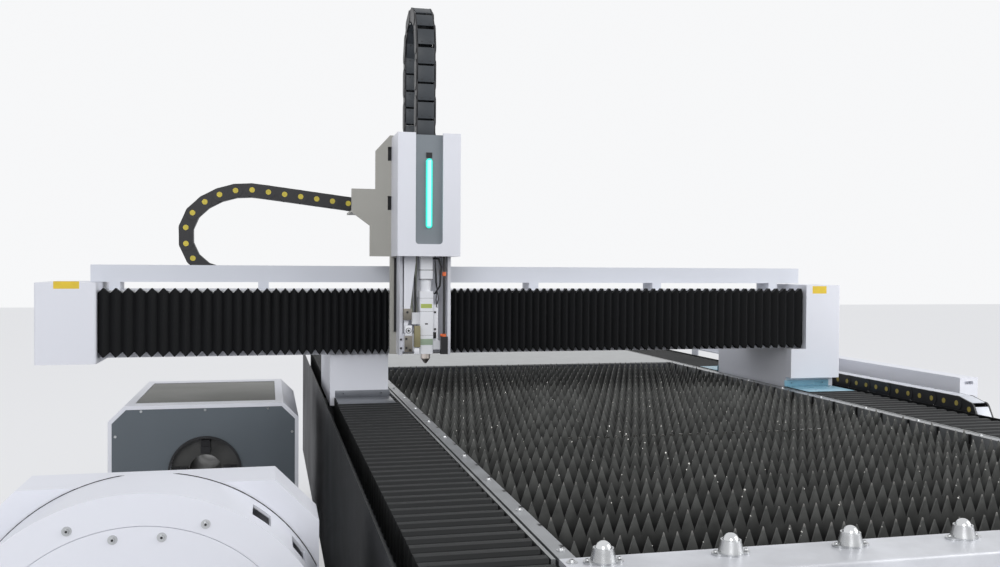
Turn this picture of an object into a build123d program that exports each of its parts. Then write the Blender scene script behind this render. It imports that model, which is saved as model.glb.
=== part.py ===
from build123d import *
from math import atan2, cos, degrees, hypot, pi, radians, sin, tan
import os

# Laser cutting machine for sheet and tube. X runs across the bed, Y along it and Z up.
# All places are worked out from the middle of the table's near edge, at floor level.
# The finished pieces are moved once, so that the origin is the middle of the footprint.

# Sheet bed
bed_length = 4500.0
table_height = 850.0
table_width = 1589.0
end_strip = 125.0
deck_length = 1060.0
plate = 6.0
strip_width = 31.5
girder_width = 311.5
girder_drop = 90.0
girder_height = 340.0
girder_wall = 12.0
wall_thickness = 60.0
cross_width = 100.0
cross_height = 100.0
leg_width = 172.0
leg_length = 120.0
leg_inset = 80.0
foot_height = 60.0
foot_radius = 60.0
foot_plate = 20.0
foot_screw_radius = 16.0
end_gap = 20.0
panel_thickness = 4.0
panel_height = 600.0
apron_height = 260.0
guide_gap = 6.0
guide_width = 8.0
fit = 0.3
seat = 0.2
half_table = table_width / 2
comb_back = half_table + plate
strip_outer = half_table + strip_width
girder_inner = comb_back
girder_outer = girder_inner + girder_width
girder_top = table_height - girder_drop
girder_bottom = girder_top - girder_height
deck_start = bed_length - deck_length
leg_inner = (girder_inner + girder_outer - leg_width) / 2
leg_outer = leg_inner + leg_width
leg_step = (deck_start + wall_thickness / 2 - leg_inset) / 3
leg_places = [leg_inset + leg_step * i for i in range(4)] + [bed_length - leg_inset]

# Toothed slats
slat_pitch = 150.0
slat_thickness = 4.0
slat_height = 112.0
slat_tip_rise = 14.0
tooth_count = 44
tooth_height = 45.0
tooth_margin = 4.0
comb_depth = 80.0
slot_depth = 60.0
slot_clearance = 0.5
slat_count = int((deck_start - end_strip) // slat_pitch)

# Ball transfer units on the near end plate
ball_pitch = 240.0
ball_offset = 38.0
ball_row = 90.0
ball_radius = 15.0
cup_radius = 23.0
cup_height = 26.0
cup_flange_length = 73.0
cup_flange_width = 28.0
cup_flange_thickness = 4.0
ball_sink = 3.0
ball_count = 1 + int((table_width - ball_offset) // ball_pitch)

# Scrap trays under the slats
tray_clearance = 90.0
tray_rim = 40.0
tray_wall = 4.0
tray_gap = 10.0
runner_thickness = 20.0
runner_drop = 70.0
runner_width = 170.0
runner_top = girder_bottom - runner_drop
tray_width = 2 * (leg_inner - runner_width - tray_gap)

# Y guides, racks and bellows
rail_width = 30.0
rail_height = 28.0
rack_width = 25.0
rack_height = 30.0
rack_gap = 42.0
bellows_width = 228.0
bellows_inset = 4.0
fold_pitch = 56.0
fold_depth = 16.0
bellows_skirt = 6.0
bellows_slab = 28.0
bellows_end = 60.0
guide_inner = strip_outer + guide_gap
bellows_inner = guide_inner + guide_width + bellows_inset
bellows_outer = bellows_inner + bellows_width
rail_offset = (bellows_inner + bellows_outer) / 2
rack_offset = rail_offset + rail_width / 2 + rack_gap

# Tube side, across and along
tube_gap = 92.0
tube_bed_start = -1000.0
tube_beam_width = 120.0
tube_beam_offset = 265.0
tube_beam_height = 140.0
tube_cross_height = 80.0
tube_rail_width = 28.0
tube_rail_height = 28.0
far_half = 352.0
near_half = 340.0
tube_x = -(girder_outer + tube_gap + far_half)

# Gantry
gantry_y = 2350.0
gantry_clearance = 165.0
beam_overhang = 202.0
beam_depth = 350.0
beam_height = 250.0
beam_wall = 10.0
beam_inset = 17.0
saddle_length = 650.0
saddle_lead = 20.0
saddle_reach_in = 96.0
saddle_reach_out = 129.0
saddle_base = 32.0
saddle_wall = 12.0
block_length = 100.0
block_side = 15.0
block_rise = 30.0
block_ground = 4.0
cover_lead = 70.0
cover_back = 20.0
cover_end = 27.0
cover_length = 209.0
cover_below = 17.0
cover_above = 29.0
right_cover_end = 21.0
right_cover_length = 163.0
right_cover_above = 24.0
skirt_drop = 125.0
cover_bend = 8.0
tray_overlap = 42.0
tray_front = 70.0
trough_width = 110.0
trough_height = 65.0
trough_sheet = 3.0
tray_post_height = 30.0
tray_post_count = 6
tray_post_width = 40.0
tray_post_inset = 225.0
pinion_radius = 20.0
shaft_radius = 10.0
motor_width = 90.0
y_motor_height = 130.0
y_motor_offset = 100.0
saddle_outer = rail_offset + saddle_reach_out
saddle_inner = rail_offset - saddle_reach_in
saddle_front = gantry_y - saddle_lead
saddle_rear = saddle_front + saddle_length
saddle_bottom = girder_top + rail_height + block_rise
beam_bottom = table_height + gantry_clearance
beam_top = beam_bottom + beam_height
beam_left = tube_x - far_half - beam_overhang
beam_right = saddle_outer - beam_inset
left_cover_outer = cover_end - beam_left
left_cover_inner = left_cover_outer - cover_length
left_cover_bottom = beam_bottom - cover_below
left_cover_top = beam_top + cover_above
right_cover_outer = beam_right + right_cover_end
right_cover_inner = right_cover_outer - right_cover_length
right_cover_top = beam_top + right_cover_above
skirt_inner = saddle_inner - 10 * fit
skirt_bottom = beam_bottom - skirt_drop
trough_y = gantry_y + tray_front
trough_floor = beam_top + tray_post_height

# X guides and bellows
x_rail_size = 25.0
x_rail_inset = 45.0
x_rack_height = 16.0
x_rack_depth = 15.0
x_block_half = 27.0
x_block_length = 60.0
x_block_offset = 75.0
x_fold_pitch = 36.0
x_fold_depth = 20.0
x_bellows_lead = 60.0
x_bellows_back = 28.0
x_bellows_rise = 4.0
x_bellows_above = 10.0
x_rail_low = beam_bottom + x_rail_inset
x_rail_high = beam_top - x_rail_inset
x_rack_bottom = beam_top - x_rack_height
x_bellows_bottom = beam_bottom + x_bellows_rise
x_bellows_top = beam_top + x_bellows_above

# Carriage
carriage_inset = 54.5
carriage_half = 123.5
plate_back = 60.0
carriage_thickness = 12.0
plate_height = 845.0
plate_right = 116.0
neck_left = 201.0
neck_height = 118.0
lug_left = 271.0
lug_drop = 298.0
lug_height = 90.0
shoulder_left = 180.0
shoulder_drop = 61.0
crown_left = 125.0
hand_slot_width = 15.0
hand_slot_height = 54.0
hand_slot_drops = [71.0, 261.0]
channel_half = 98.0
channel_wall = 12.0
channel_depth = 98.0
hood_half = 118.5
hood_lead = 80.0
hood_height = 457.0
hood_drop = 10.0
hood_sheet = 3.0
recess_half = 51.0
recess_rise = 45.0
recess_depth = 12.0
recess_corner = 12.0
light_width = 24.0
light_rise = 104.0
light_length = 259.0
light_thickness = 7.0
x_motor_height = 145.0
z_motor_height = 160.0
z_motor_drop = 60.0
motor_corner = 10.0
carriage_x = carriage_inset - half_table
carriage_left = carriage_x - carriage_half
carriage_right = carriage_x + carriage_half
plate_rear = gantry_y - plate_back
plate_front = plate_rear - carriage_thickness
plate_bottom = x_bellows_bottom + 3 * fit
plate_top = plate_bottom + plate_height
hood_top = plate_top - hood_drop
hood_bottom = hood_top - hood_height
neck_bottom = hood_bottom
lug_bottom = plate_top - lug_drop
lug_top = lug_bottom + lug_height
shoulder_top = plate_top - shoulder_drop
channel_bottom = plate_bottom + 20 * seat
recess_bottom = hood_bottom + recess_rise
light_bottom = hood_bottom + light_rise
light_top = light_bottom + light_length

# Head
head_clearance = 180.0
head_lead = 180.0
head_width = 52.0
head_height = 237.0
head_ring_height = 43.0
head_ring_radius = 21.0
collimator_width = 48.0
collimator_height = 90.0
connector_radius = 13.0
connector_height = 55.0
nozzle_radius = 18.0
nozzle_tip_radius = 4.0
nozzle_length = 37.0
nozzle_cone = 19.0
nozzle_bore = 1.5
z_plate_half = 60.0
z_plate_thickness = 12.0
z_plate_height = 760.0
z_rail_width = 15.0
z_rail_height = 12.0
z_rail_offset = 42.0
z_rail_gap = 26.0
z_block_length = 60.0
z_block_half = 16.0
hose_radius = 5.0
slim_hose_radius = 3.5
hose_bend = 20.0
valve_width = 26.0
valve_height = 66.0
valve_place = 65.0
head_corner = 5.0
sensor_width = 28.0
sensor_height = 44.0
sensor_rise = 112.0
head_y = gantry_y - head_lead
head_bottom = table_height + head_clearance
head_top = head_bottom + head_height
head_ring_top = head_top + head_ring_height
collimator_top = head_ring_top + collimator_height
connector_top = collimator_top + connector_height
nozzle_tip = head_bottom - nozzle_length
z_plate_bottom = head_bottom + 10.0
z_plate_top = z_plate_bottom + z_plate_height

# Drag chains
x_link = 62.5
x_link_height = 54.0
x_link_width = 70.0
x_chain_straight = 417.0
x_chain_gentle = 286.0
x_chain_run = 760.0
x_chain_rise = 7.0
x_chain_turn = 46.0
y_link = 70.0
y_link_height = 54.0
y_link_width = 70.0
y_chain_gap = 28.0
y_chain_rise = 20.0
y_chain_radius = 80.0
y_chain_upper = 1350.0
y_chain_lower = 620.0
z_link = 68.0
z_link_height = 50.0
z_link_width = 78.0
z_link_count = 22
z_chain_radius = 160.0
z_chain_lead = 20.0
z_chain_shift = 9.0
z_chain_drop = 300.0
link_gap = 0.6
arm_thickness = 8.0
y_chain_x = girder_outer + y_chain_gap
y_chain_z = table_height + y_chain_rise
arm_y = saddle_rear - 50.0
y_chain_nose = arm_y - y_chain_upper
y_chain_fixed = y_chain_nose + y_chain_lower
z_chain_end = z_plate_top - z_chain_drop

# Right side duct
duct_width = 80.0
duct_height = 80.0
duct_rise = 12.0
duct_reach = 166.0
duct_gap = 16.0
duct_start = 1755.0
duct_section = 430.0
duct_slot_width = 40.0
duct_slot_height = 12.0
duct_slot_depth = 20.0
shelf = 6.0
post_width = 80.0
post_thickness = 8.0
duct_bottom = table_height + duct_rise
duct_x = girder_outer + duct_reach
trough_outer = duct_x - duct_gap
duct_count = int((bed_length - duct_start) // duct_section)

# Chucks
chuck_drop = 283.0
spindle_radius = 128.0
tube_bore = 60.0
far_lead = 56.0
far_length = 820.0
far_rise = 258.0
far_chamfer = 58.0
far_border = 14.0
far_panel = 3.0
far_recess = 30.0
far_foot = 74.0
top_panel_side = 30.0
top_panel_end = 80.0
top_panel_depth = 5.0
ring_width = 8.0
near_front = 580.0
near_length = 145.0
near_rise = 346.0
near_chamfer = 90.0
near_lift = 30.0
near_spindle = 280.0
drum_radius = 371.0
drum_depth = 185.0
drum_wall = 6.0
drum_inset = 4.0
lid_radius = 311.0
lid_groove = 1.5
window_angles = [37.0, 53.0]
window_length = 84.0
window_width = 44.0
window_place = 90.0
flange_radius = 190.0
flange_thickness = 42.0
tube_block_half = 35.0
tube_block_length = 60.0
tube_block_gap = 5.0
jaw_length = 50.0
jaw_width = 34.0
jaw_thickness = 26.0
jaw_rest = 68.0
tube_z = table_height - chuck_drop
far_front = gantry_y + far_lead
far_rear = far_front + far_length
far_top = tube_z + far_rise
near_rear = near_front + near_length
near_top = tube_z + near_rise
tube_bed_end = far_rear + far_foot
tube_rail_end = far_front - far_recess + 4.0
tube_beam_bottom = foot_height
tube_beam_top = tube_beam_bottom + tube_beam_height
near_bottom = tube_beam_top + tube_rail_height + near_lift
drum_top = tube_z + drum_radius + drum_wall
drum_middle = (near_bottom + drum_top) / 2

footprint_right = duct_x + duct_width
datum = Location(((left_cover_outer - footprint_right) / 2, -(tube_bed_start + bed_length) / 2, 0))

os.makedirs("parts", exist_ok=True)


def block(x, y, z, mode=Mode.ADD):
    """A box between two values on each axis."""
    with Locations(((x[0] + x[1]) / 2, (y[0] + y[1]) / 2, (z[0] + z[1]) / 2)):
        Box(x[1] - x[0], y[1] - y[0], z[1] - z[0], mode=mode)


def pair(x, y, z, mode=Mode.ADD):
    """The same box on both sides of the table's centre line."""
    block(x, y, z, mode)
    block((-x[1], -x[0]), y, z, mode)


def across(y):
    """A plane that faces the operator, with X to the right and Z up."""
    return Plane(origin=(0, y, 0), x_dir=(1, 0, 0), z_dir=(0, -1, 0))


def along(x):
    """A plane that faces +X, with Y to the right and Z up."""
    return Plane(origin=(x, 0, 0), x_dir=(0, 1, 0), z_dir=(1, 0, 0))


def save(piece, name):
    """Moves a finished piece to the machine's datum, names it and writes it."""
    piece.part.move(datum)
    piece.part.label = name
    export_step(piece.part, f"parts/{name}.step")


# Bed: two box girders on legs, end walls and cross beams, welded into one frame
end_walls = [(bellows_end, bellows_end + wall_thickness), (deck_start, deck_start + wall_thickness)]
end_walls.append((bed_length - 2 * wall_thickness, bed_length - wall_thickness))
with BuildPart() as bed_frame:
    for side in (-1, 1):
        middle = side * (girder_inner + girder_outer) / 2
        with BuildSketch(across(bed_length - end_gap)):
            with Locations((middle, girder_top - girder_height / 2)):
                Rectangle(girder_width, girder_height)
                Rectangle(
                    girder_width - 2 * girder_wall,
                    girder_height - 2 * girder_wall,
                    mode=Mode.SUBTRACT,
                )
        extrude(amount=bed_length - 2 * end_gap)
    pair((comb_back, strip_outer), (end_strip, bed_length - end_gap), (girder_top, table_height - plate))
    for y in leg_places:
        pair(
            (leg_inner, leg_outer),
            (y - leg_length / 2, y + leg_length / 2),
            (foot_height, girder_bottom),
        )
    for wall, top in zip(end_walls, (2 * plate, plate, plate)):
        block((-girder_inner, girder_inner), wall, (girder_bottom, table_height - top))
    for y in leg_places[1:3]:
        block(
            (-girder_inner, girder_inner),
            (y - cross_width / 2, y + cross_width / 2),
            (girder_bottom, girder_bottom + cross_height),
        )
    pair(
        (leg_inner - runner_width, leg_inner),
        (bellows_end, bed_length - bellows_end),
        (runner_top - runner_thickness, runner_top),
    )
    for y in ((end_gap, bellows_end), (bed_length - bellows_end, bed_length - end_gap)):
        pair((bellows_inner, bellows_outer), y, (girder_top, table_height - plate))
save(bed_frame, "bed_frame")

# Dark sheet panels that close the bed's long sides
with BuildPart() as side_panels:
    pair(
        (girder_outer, girder_outer + panel_thickness),
        (0, bed_length),
        (table_height - panel_height, table_height),
    )
save(side_panels, "side_panels")

# Bright strips that keep the bellows off the table's edge
with BuildPart() as guide_strips:
    pair(
        (guide_inner, guide_inner + guide_width),
        (end_strip, bed_length - 2 * end_gap),
        (girder_top, table_height),
    )
save(guide_strips, "guide_strips")

# Combs: an angle along each side of the table, with one open slot for each slat
slat_first = end_strip + slat_pitch / 2
slat_places = [slat_first + slat_pitch * i for i in range(slat_count)]
slot_width = slat_thickness + 2 * slot_clearance
with BuildPart() as combs:
    for inner in (-comb_back, half_table):
        with BuildSketch(along(inner)):
            with Locations(((end_strip + deck_start) / 2, table_height - comb_depth / 2)):
                Rectangle(deck_start - end_strip, comb_depth)
            with Locations(*[(y, table_height - slot_depth / 2) for y in slat_places]):
                Rectangle(slot_width, slot_depth, mode=Mode.SUBTRACT)
        extrude(amount=plate)
    pair((comb_back, strip_outer), (end_strip, deck_start), (table_height - plate, table_height))
save(combs, "combs")

# Toothed slats: each is one cut plate, and its ears sit in the combs' slots
tooth_pitch = (table_width - tooth_margin) / tooth_count
slat_top = table_height + slat_tip_rise
ear_bottom = table_height - slot_depth
ear_end = half_table + plate - slot_clearance
with BuildPart() as slats:
    with BuildSketch(across(slat_first + slat_thickness / 2)):
        with BuildLine():
            teeth = [(-tooth_count * tooth_pitch / 2, slat_top - tooth_height)]
            for i in range(tooth_count):
                left = teeth[0][0] + i * tooth_pitch
                teeth.append((left + tooth_pitch / 2, slat_top))
                teeth.append((left + tooth_pitch, slat_top - tooth_height))
            inner = half_table - plate
            Polyline(
                *teeth,
                (ear_end, slat_top - tooth_height),
                (ear_end, ear_bottom),
                (inner, ear_bottom),
                (inner, slat_top - slat_height),
                (-inner, slat_top - slat_height),
                (-inner, ear_bottom),
                (-ear_end, ear_bottom),
                (-ear_end, slat_top - tooth_height),
                close=True,
            )
        make_face()
    extrude(amount=slat_thickness)
    first_slat = slats.part
    with Locations(*[(0, slat_pitch * i, 0) for i in range(1, slat_count)]):
        add(first_slat)
save(slats, "slats")

# Near end plate: a bent plate across the bed, with a short apron
with BuildPart() as near_end_plate:
    block((-strip_outer, strip_outer), (0, end_strip), (table_height - 2 * plate, table_height))
    block(
        (-strip_outer, strip_outer),
        (0, plate),
        (table_height - apron_height, table_height - 2 * plate),
    )
    bend = near_end_plate.edges().filter_by(Axis.X).group_by(Axis.Z)[-1].sort_by(Axis.Y)[0]
    fillet(bend, radius=plate)
save(near_end_plate, "near_end_plate")

# Rear deck: closes the bed behind the last slat, where the gantry parks
with BuildPart() as rear_deck:
    block((-strip_outer, strip_outer), (deck_start, bed_length), (table_height - plate, table_height))
    block(
        (-strip_outer, strip_outer),
        (bed_length - plate, bed_length),
        (table_height - apron_height, table_height - plate),
    )
save(rear_deck, "rear_deck")

# Ball transfer units: pressed cups with two ears, each with a steel ball
ball_first = -half_table + ball_offset
ball_places = [(ball_first + ball_pitch * i, ball_row) for i in range(ball_count)]
ball_centre = table_height + cup_height - ball_sink
with BuildPart() as transfer_cups:
    with BuildSketch(Plane.XY.offset(table_height)):
        with Locations(*ball_places):
            SlotOverall(cup_flange_length, cup_flange_width)
            Circle(cup_radius)
    extrude(amount=cup_flange_thickness)
    with BuildSketch(Plane.XY.offset(table_height + cup_flange_thickness)):
        with Locations(*ball_places):
            Circle(cup_radius)
    extrude(amount=cup_height - cup_flange_thickness, taper=12)
    with Locations(*[(x, y, ball_centre) for x, y in ball_places]):
        Cylinder(ball_radius + seat, 2 * ball_radius, mode=Mode.SUBTRACT)
save(transfer_cups, "transfer_cups")

with BuildPart() as transfer_balls:
    with Locations(*[(x, y, ball_centre) for x, y in ball_places]):
        Sphere(ball_radius)
save(transfer_balls, "transfer_balls")

# Scrap trays: open boxes that hang by their rims on the frame's runners
tray_top = runner_top + seat
tray_ends = (bellows_end + tray_gap, leg_places[2] - tray_gap / 2)
far_tray_ends = (leg_places[2] + tray_gap / 2, bed_length - bellows_end - tray_gap)
for ends, name in ((tray_ends, "scrap_tray_near"), (far_tray_ends, "scrap_tray_far")):
    with BuildPart() as scrap_tray:
        block((-tray_width / 2, tray_width / 2), ends, (tray_clearance, tray_top + tray_wall))
        pair(
            (tray_width / 2, tray_width / 2 + tray_rim), ends, (tray_top, tray_top + tray_wall)
        )
        inside = tray_width / 2 - tray_wall
        block(
            (-inside, inside),
            (ends[0] + tray_wall, ends[1] - tray_wall),
            (tray_clearance + tray_wall, tray_top + tray_wall),
            Mode.SUBTRACT,
        )
    save(scrap_tray, name)

# Y guides: a rail and a rack on each girder
with BuildPart() as y_rails:
    pair(
        (rail_offset - rail_width / 2, rail_offset + rail_width / 2),
        (bellows_end, bed_length - bellows_end),
        (girder_top, girder_top + rail_height),
    )
    pair(
        (rack_offset, rack_offset + rack_width),
        (bellows_end, bed_length - bellows_end),
        (girder_top, girder_top + rack_height),
    )
save(y_rails, "y_rails")


def pleats(start, end, pitch, low, high):
    """Points of a folded edge from start to end, low at both ends and high at each fold."""
    count = max(1, round((end - start) / pitch))
    step = (end - start) / count
    points = [(start, low)]
    for i in range(count):
        points.append((start + (i + 0.5) * step, high))
        points.append((start + (i + 1) * step, low))
    return points


# Y bellows: pleated covers over the guides, before and behind each saddle
bellows_top = table_height
slab_bottom = bellows_top - fold_depth - bellows_slab
for name, start, end in (
    ("y_bellows_front", bellows_end, saddle_front - fit),
    ("y_bellows_rear", saddle_rear + fit, bed_length - bellows_end),
):
    with BuildPart() as y_bellows:
        for inner in (-bellows_outer, bellows_inner):
            with BuildSketch(along(inner)):
                with BuildLine():
                    Polyline(
                        *pleats(start, end, fold_pitch, bellows_top - fold_depth, bellows_top),
                        (end, slab_bottom),
                        (start, slab_bottom),
                        close=True,
                    )
                make_face()
            extrude(amount=bellows_width)
        for x in (bellows_inner, bellows_outer - bellows_skirt):
            pair((x, x + bellows_skirt), (start, end), (girder_top + 2, slab_bottom))
    save(y_bellows, name)

# Gantry beam: a box section across the bed, which overhangs the tube side
with BuildPart() as beam:
    with BuildSketch(along(beam_left)):
        with Locations((gantry_y + beam_depth / 2, beam_bottom + beam_height / 2)):
            Rectangle(beam_depth, beam_height)
            Rectangle(beam_depth - 2 * beam_wall, beam_height - 2 * beam_wall, mode=Mode.SUBTRACT)
    extrude(amount=beam_right - beam_left)
save(beam, "gantry_beam")

# Saddles: hollow boxes that carry the beam; the right one also holds the Y chain's arm
pinion_x = rack_offset - pinion_radius - fit
motor_y = saddle_front + saddle_length / 2 + y_motor_offset
for side, name in ((-1, "saddle_left"), (1, "saddle_right")):
    with BuildPart() as saddle:
        x = sorted((side * saddle_inner, side * saddle_outer))
        block(x, (saddle_front, saddle_rear), (saddle_bottom, beam_bottom))
        block(
            (x[0] + saddle_wall, x[1] - saddle_wall),
            (saddle_front + saddle_wall, saddle_rear - saddle_wall),
            (saddle_bottom + saddle_base, beam_bottom - saddle_wall),
            Mode.SUBTRACT,
        )
        with Locations((side * pinion_x, motor_y, saddle_bottom + saddle_base / 2)):
            Cylinder(pinion_radius + block_ground, saddle_base, mode=Mode.SUBTRACT)
        if side > 0:
            under_arm = y_chain_z + y_link_height / 2 + fit
            block(
                (saddle_outer, y_chain_x + y_link_width),
                (arm_y - y_link, arm_y),
                (under_arm, under_arm + arm_thickness),
            )
    save(saddle, name)

# Rail blocks under the saddles, two on each rail
with BuildPart() as y_blocks:
    block_half = rail_width / 2 + block_side
    for y in (saddle_front + saddle_lead, saddle_rear - saddle_lead - block_length):
        pair(
            (rail_offset - block_half, rail_offset + block_half),
            (y, y + block_length),
            (girder_top + block_ground, saddle_bottom),
        )
        pair(
            (rail_offset - rail_width / 2 - fit, rail_offset + rail_width / 2 + fit),
            (y, y + block_length),
            (girder_top + block_ground, girder_top + rail_height + fit),
            Mode.SUBTRACT,
        )
save(y_blocks, "y_blocks")

# Y gearmotors inside the saddles, each with its pinion beside the rack
with BuildPart() as y_gearmotors:
    motor_bottom = saddle_bottom + saddle_base
    pinion_top = girder_top + rack_height
    for side in (-1, 1):
        with BuildSketch(Plane.XY.offset(motor_bottom)):
            with Locations((side * pinion_x, motor_y)):
                Rectangle(motor_width, motor_width)
        extrude(amount=y_motor_height)
        with BuildSketch(Plane.XY.offset(girder_top + block_ground)):
            with Locations((side * pinion_x, motor_y)):
                Circle(pinion_radius)
        extrude(amount=rack_height - block_ground)
        with BuildSketch(Plane.XY.offset(pinion_top)):
            with Locations((side * pinion_x, motor_y)):
                Circle(shaft_radius)
        extrude(amount=motor_bottom - pinion_top)
save(y_gearmotors, "y_gearmotors")

# Beam end covers: bent sheet boxes that slip over the beam's ends
cover_y = (gantry_y - cover_lead, gantry_y + beam_depth + cover_back)
pocket_y = (gantry_y - seat, gantry_y + beam_depth + seat)
with BuildPart() as end_cover_left:
    block(
        (-left_cover_outer, -left_cover_inner), cover_y, (left_cover_bottom, left_cover_top)
    )
    fillet(end_cover_left.edges().filter_by(Axis.Z).sort_by(Axis.Y)[:2], radius=cover_bend)
    block(
        (beam_left - seat, -left_cover_inner),
        pocket_y,
        (beam_bottom - seat, beam_top + seat),
        Mode.SUBTRACT,
    )
save(end_cover_left, "end_cover_left")

with BuildPart() as end_cover_right:
    block((right_cover_inner, right_cover_outer), cover_y, (beam_bottom + seat, right_cover_top))
    block(
        (skirt_inner, right_cover_outer),
        (cover_y[0], saddle_front - seat),
        (skirt_bottom, beam_bottom + seat),
    )
    corner = end_cover_right.edges().filter_by(Axis.Z).group_by(Axis.Y)[0].sort_by(Axis.X)[-1]
    fillet(corner, radius=cover_bend)
    block(
        (right_cover_inner, beam_right + seat),
        pocket_y,
        (beam_bottom, beam_top + seat),
        Mode.SUBTRACT,
    )
save(end_cover_right, "end_cover_right")

# Cable trough above the beam, on short posts
post_step = (beam_right - beam_left - 2 * tray_post_inset) / (tray_post_count - 1)
with BuildPart() as cable_tray:
    tray_y = (trough_y, trough_y + trough_width)
    tray_x = (-left_cover_inner - tray_overlap, right_cover_inner + tray_overlap)
    block(tray_x, tray_y, (trough_floor, trough_floor + trough_height))
    block(
        tray_x,
        (tray_y[0] + trough_sheet, tray_y[1] - trough_sheet),
        (trough_floor + trough_sheet, trough_floor + trough_height),
        Mode.SUBTRACT,
    )
    for i in range(tray_post_count):
        x = beam_left + tray_post_inset + post_step * i
        block((x - tray_post_width / 2, x + tray_post_width / 2), tray_y, (beam_top, trough_floor))
save(cable_tray, "cable_tray")

# X guides: two rails and a rack on the beam's front
guide_ends = (-left_cover_inner + 10 * fit, right_cover_inner - 10 * fit)
with BuildPart() as x_rails:
    for z in (x_rail_low, x_rail_high):
        block(
            guide_ends,
            (gantry_y - x_rail_size, gantry_y),
            (z - x_rail_size / 2, z + x_rail_size / 2),
        )
    block(
        guide_ends,
        (gantry_y - x_rack_depth, gantry_y),
        (x_rack_bottom, x_rack_bottom + x_rack_height),
    )
save(x_rails, "x_rails")

# X bellows: pleated covers on both sides of the carriage
bellows_front = gantry_y - x_bellows_lead
bellows_rear = gantry_y - x_bellows_back
for name, start, end in (
    ("x_bellows_left", -left_cover_inner, carriage_left - fit),
    ("x_bellows_right", carriage_right + fit, right_cover_inner),
):
    with BuildPart() as x_bellows:
        with BuildSketch(Plane.XY.offset(x_bellows_bottom)):
            with BuildLine():
                Polyline(
                    *pleats(start, end, x_fold_pitch, bellows_front + x_fold_depth, bellows_front),
                    (end, bellows_rear),
                    (start, bellows_rear),
                    close=True,
                )
            make_face()
        extrude(amount=x_bellows_top - x_bellows_bottom)
    save(x_bellows, name)

# Carriage plate: cut plate with a lug for the X chain, two hand slots and the chain arms
with BuildPart() as carriage_plate:
    with BuildSketch(across(plate_rear)):
        with BuildLine():
            outline = [
                (carriage_x + plate_right, plate_bottom),
                (carriage_x + plate_right, plate_top),
                (carriage_x - crown_left, plate_top),
                (carriage_x - shoulder_left, shoulder_top),
                (carriage_x - shoulder_left, lug_top),
                (carriage_x - lug_left, lug_top),
                (carriage_x - lug_left, lug_bottom),
                (carriage_x - neck_left, neck_bottom + neck_height),
                (carriage_x - neck_left, neck_bottom),
                (carriage_left + fit, neck_bottom),
                (carriage_left + fit, plate_bottom),
            ]
            Polyline(*outline, close=True)
        make_face()
        with Locations(*[(carriage_x - crown_left, plate_top - drop) for drop in hand_slot_drops]):
            Rectangle(hand_slot_width, hand_slot_height, mode=Mode.SUBTRACT)
    extrude(amount=carriage_thickness)
    x_chain_y = trough_y + (trough_width - x_link_width) / 2
    x_chain_start = lug_bottom + arm_thickness + x_link_height / 2
    arm_top = x_chain_start - x_link_height / 2 - fit
    block(
        (carriage_x - lug_left, carriage_x - lug_left + x_link),
        (plate_rear, x_chain_y + x_link_width),
        (arm_top - arm_thickness, arm_top),
    )
    z_chain_front = head_y - z_chain_lead
    z_chain_rear = z_chain_front + 2 * z_chain_radius
    z_chain_left = carriage_x - z_chain_shift - z_link_width / 2
    z_chain_x = (z_chain_left, z_chain_left + z_link_width)
    block(
        z_chain_x,
        (plate_rear, z_chain_rear + z_link_height / 2),
        (plate_top - arm_thickness, plate_top),
    )
save(carriage_plate, "carriage_plate")

# X rail blocks behind the carriage plate
with BuildPart() as x_blocks:
    for z in (x_rail_low, x_rail_high):
        for x in (carriage_x - x_block_offset, carriage_x + x_block_offset):
            block(
                (x - x_block_length / 2, x + x_block_length / 2),
                (plate_rear, gantry_y - fit),
                (z - x_block_half, z + x_block_half),
            )
        block(
            (carriage_left, carriage_right),
            (gantry_y - x_rail_size - fit, gantry_y),
            (z - x_rail_size / 2 - fit, z + x_rail_size / 2 + fit),
            Mode.SUBTRACT,
        )
save(x_blocks, "x_blocks")

# X gearmotor above the beam, with its pinion in front of the rack
x_pinion_y = gantry_y - x_rack_depth - pinion_radius - fit
with BuildPart() as x_gearmotor:
    x_motor_bottom = beam_top + motor_corner + x_bellows_rise
    block(
        (carriage_x - motor_width / 2, carriage_x + motor_width / 2),
        (plate_rear, plate_rear + motor_width),
        (x_motor_bottom, x_motor_bottom + x_motor_height),
    )
    with BuildSketch(Plane.XY.offset(x_rack_bottom)):
        with Locations((carriage_x, x_pinion_y)):
            Circle(pinion_radius)
    extrude(amount=x_rack_height)
    with BuildSketch(Plane.XY.offset(x_rack_bottom + x_rack_height)):
        with Locations((carriage_x, x_pinion_y)):
            Circle(shaft_radius)
    extrude(amount=x_motor_bottom - x_rack_bottom - x_rack_height)
save(x_gearmotor, "x_gearmotor")

# Z channel: white U profile on the carriage plate, with the rail blocks of the head slide
channel_back = plate_front
z_face = channel_back - channel_wall
rail_y = z_face - z_rail_gap
with BuildPart() as z_channel:
    block(
        (carriage_x - channel_half, carriage_x + channel_half),
        (z_face, channel_back),
        (channel_bottom, plate_top),
    )
    for side in (-1, 1):
        edge = sorted((side * channel_half, side * (channel_half - channel_wall)))
        block(
            (carriage_x + edge[0], carriage_x + edge[1]),
            (channel_back - channel_depth, z_face),
            (channel_bottom, plate_top),
        )
        for z in (channel_bottom + z_block_length, channel_bottom + 4 * z_block_length):
            x = carriage_x + side * z_rail_offset
            length = (z, z + z_block_length)
            block((x - z_block_half, x + z_block_half), (rail_y + fit, z_face), length)
            half = z_rail_width / 2 + fit
            block((x - half, x + half), (rail_y, rail_y + z_rail_height + fit), length, Mode.SUBTRACT)
save(z_channel, "z_channel")

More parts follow.
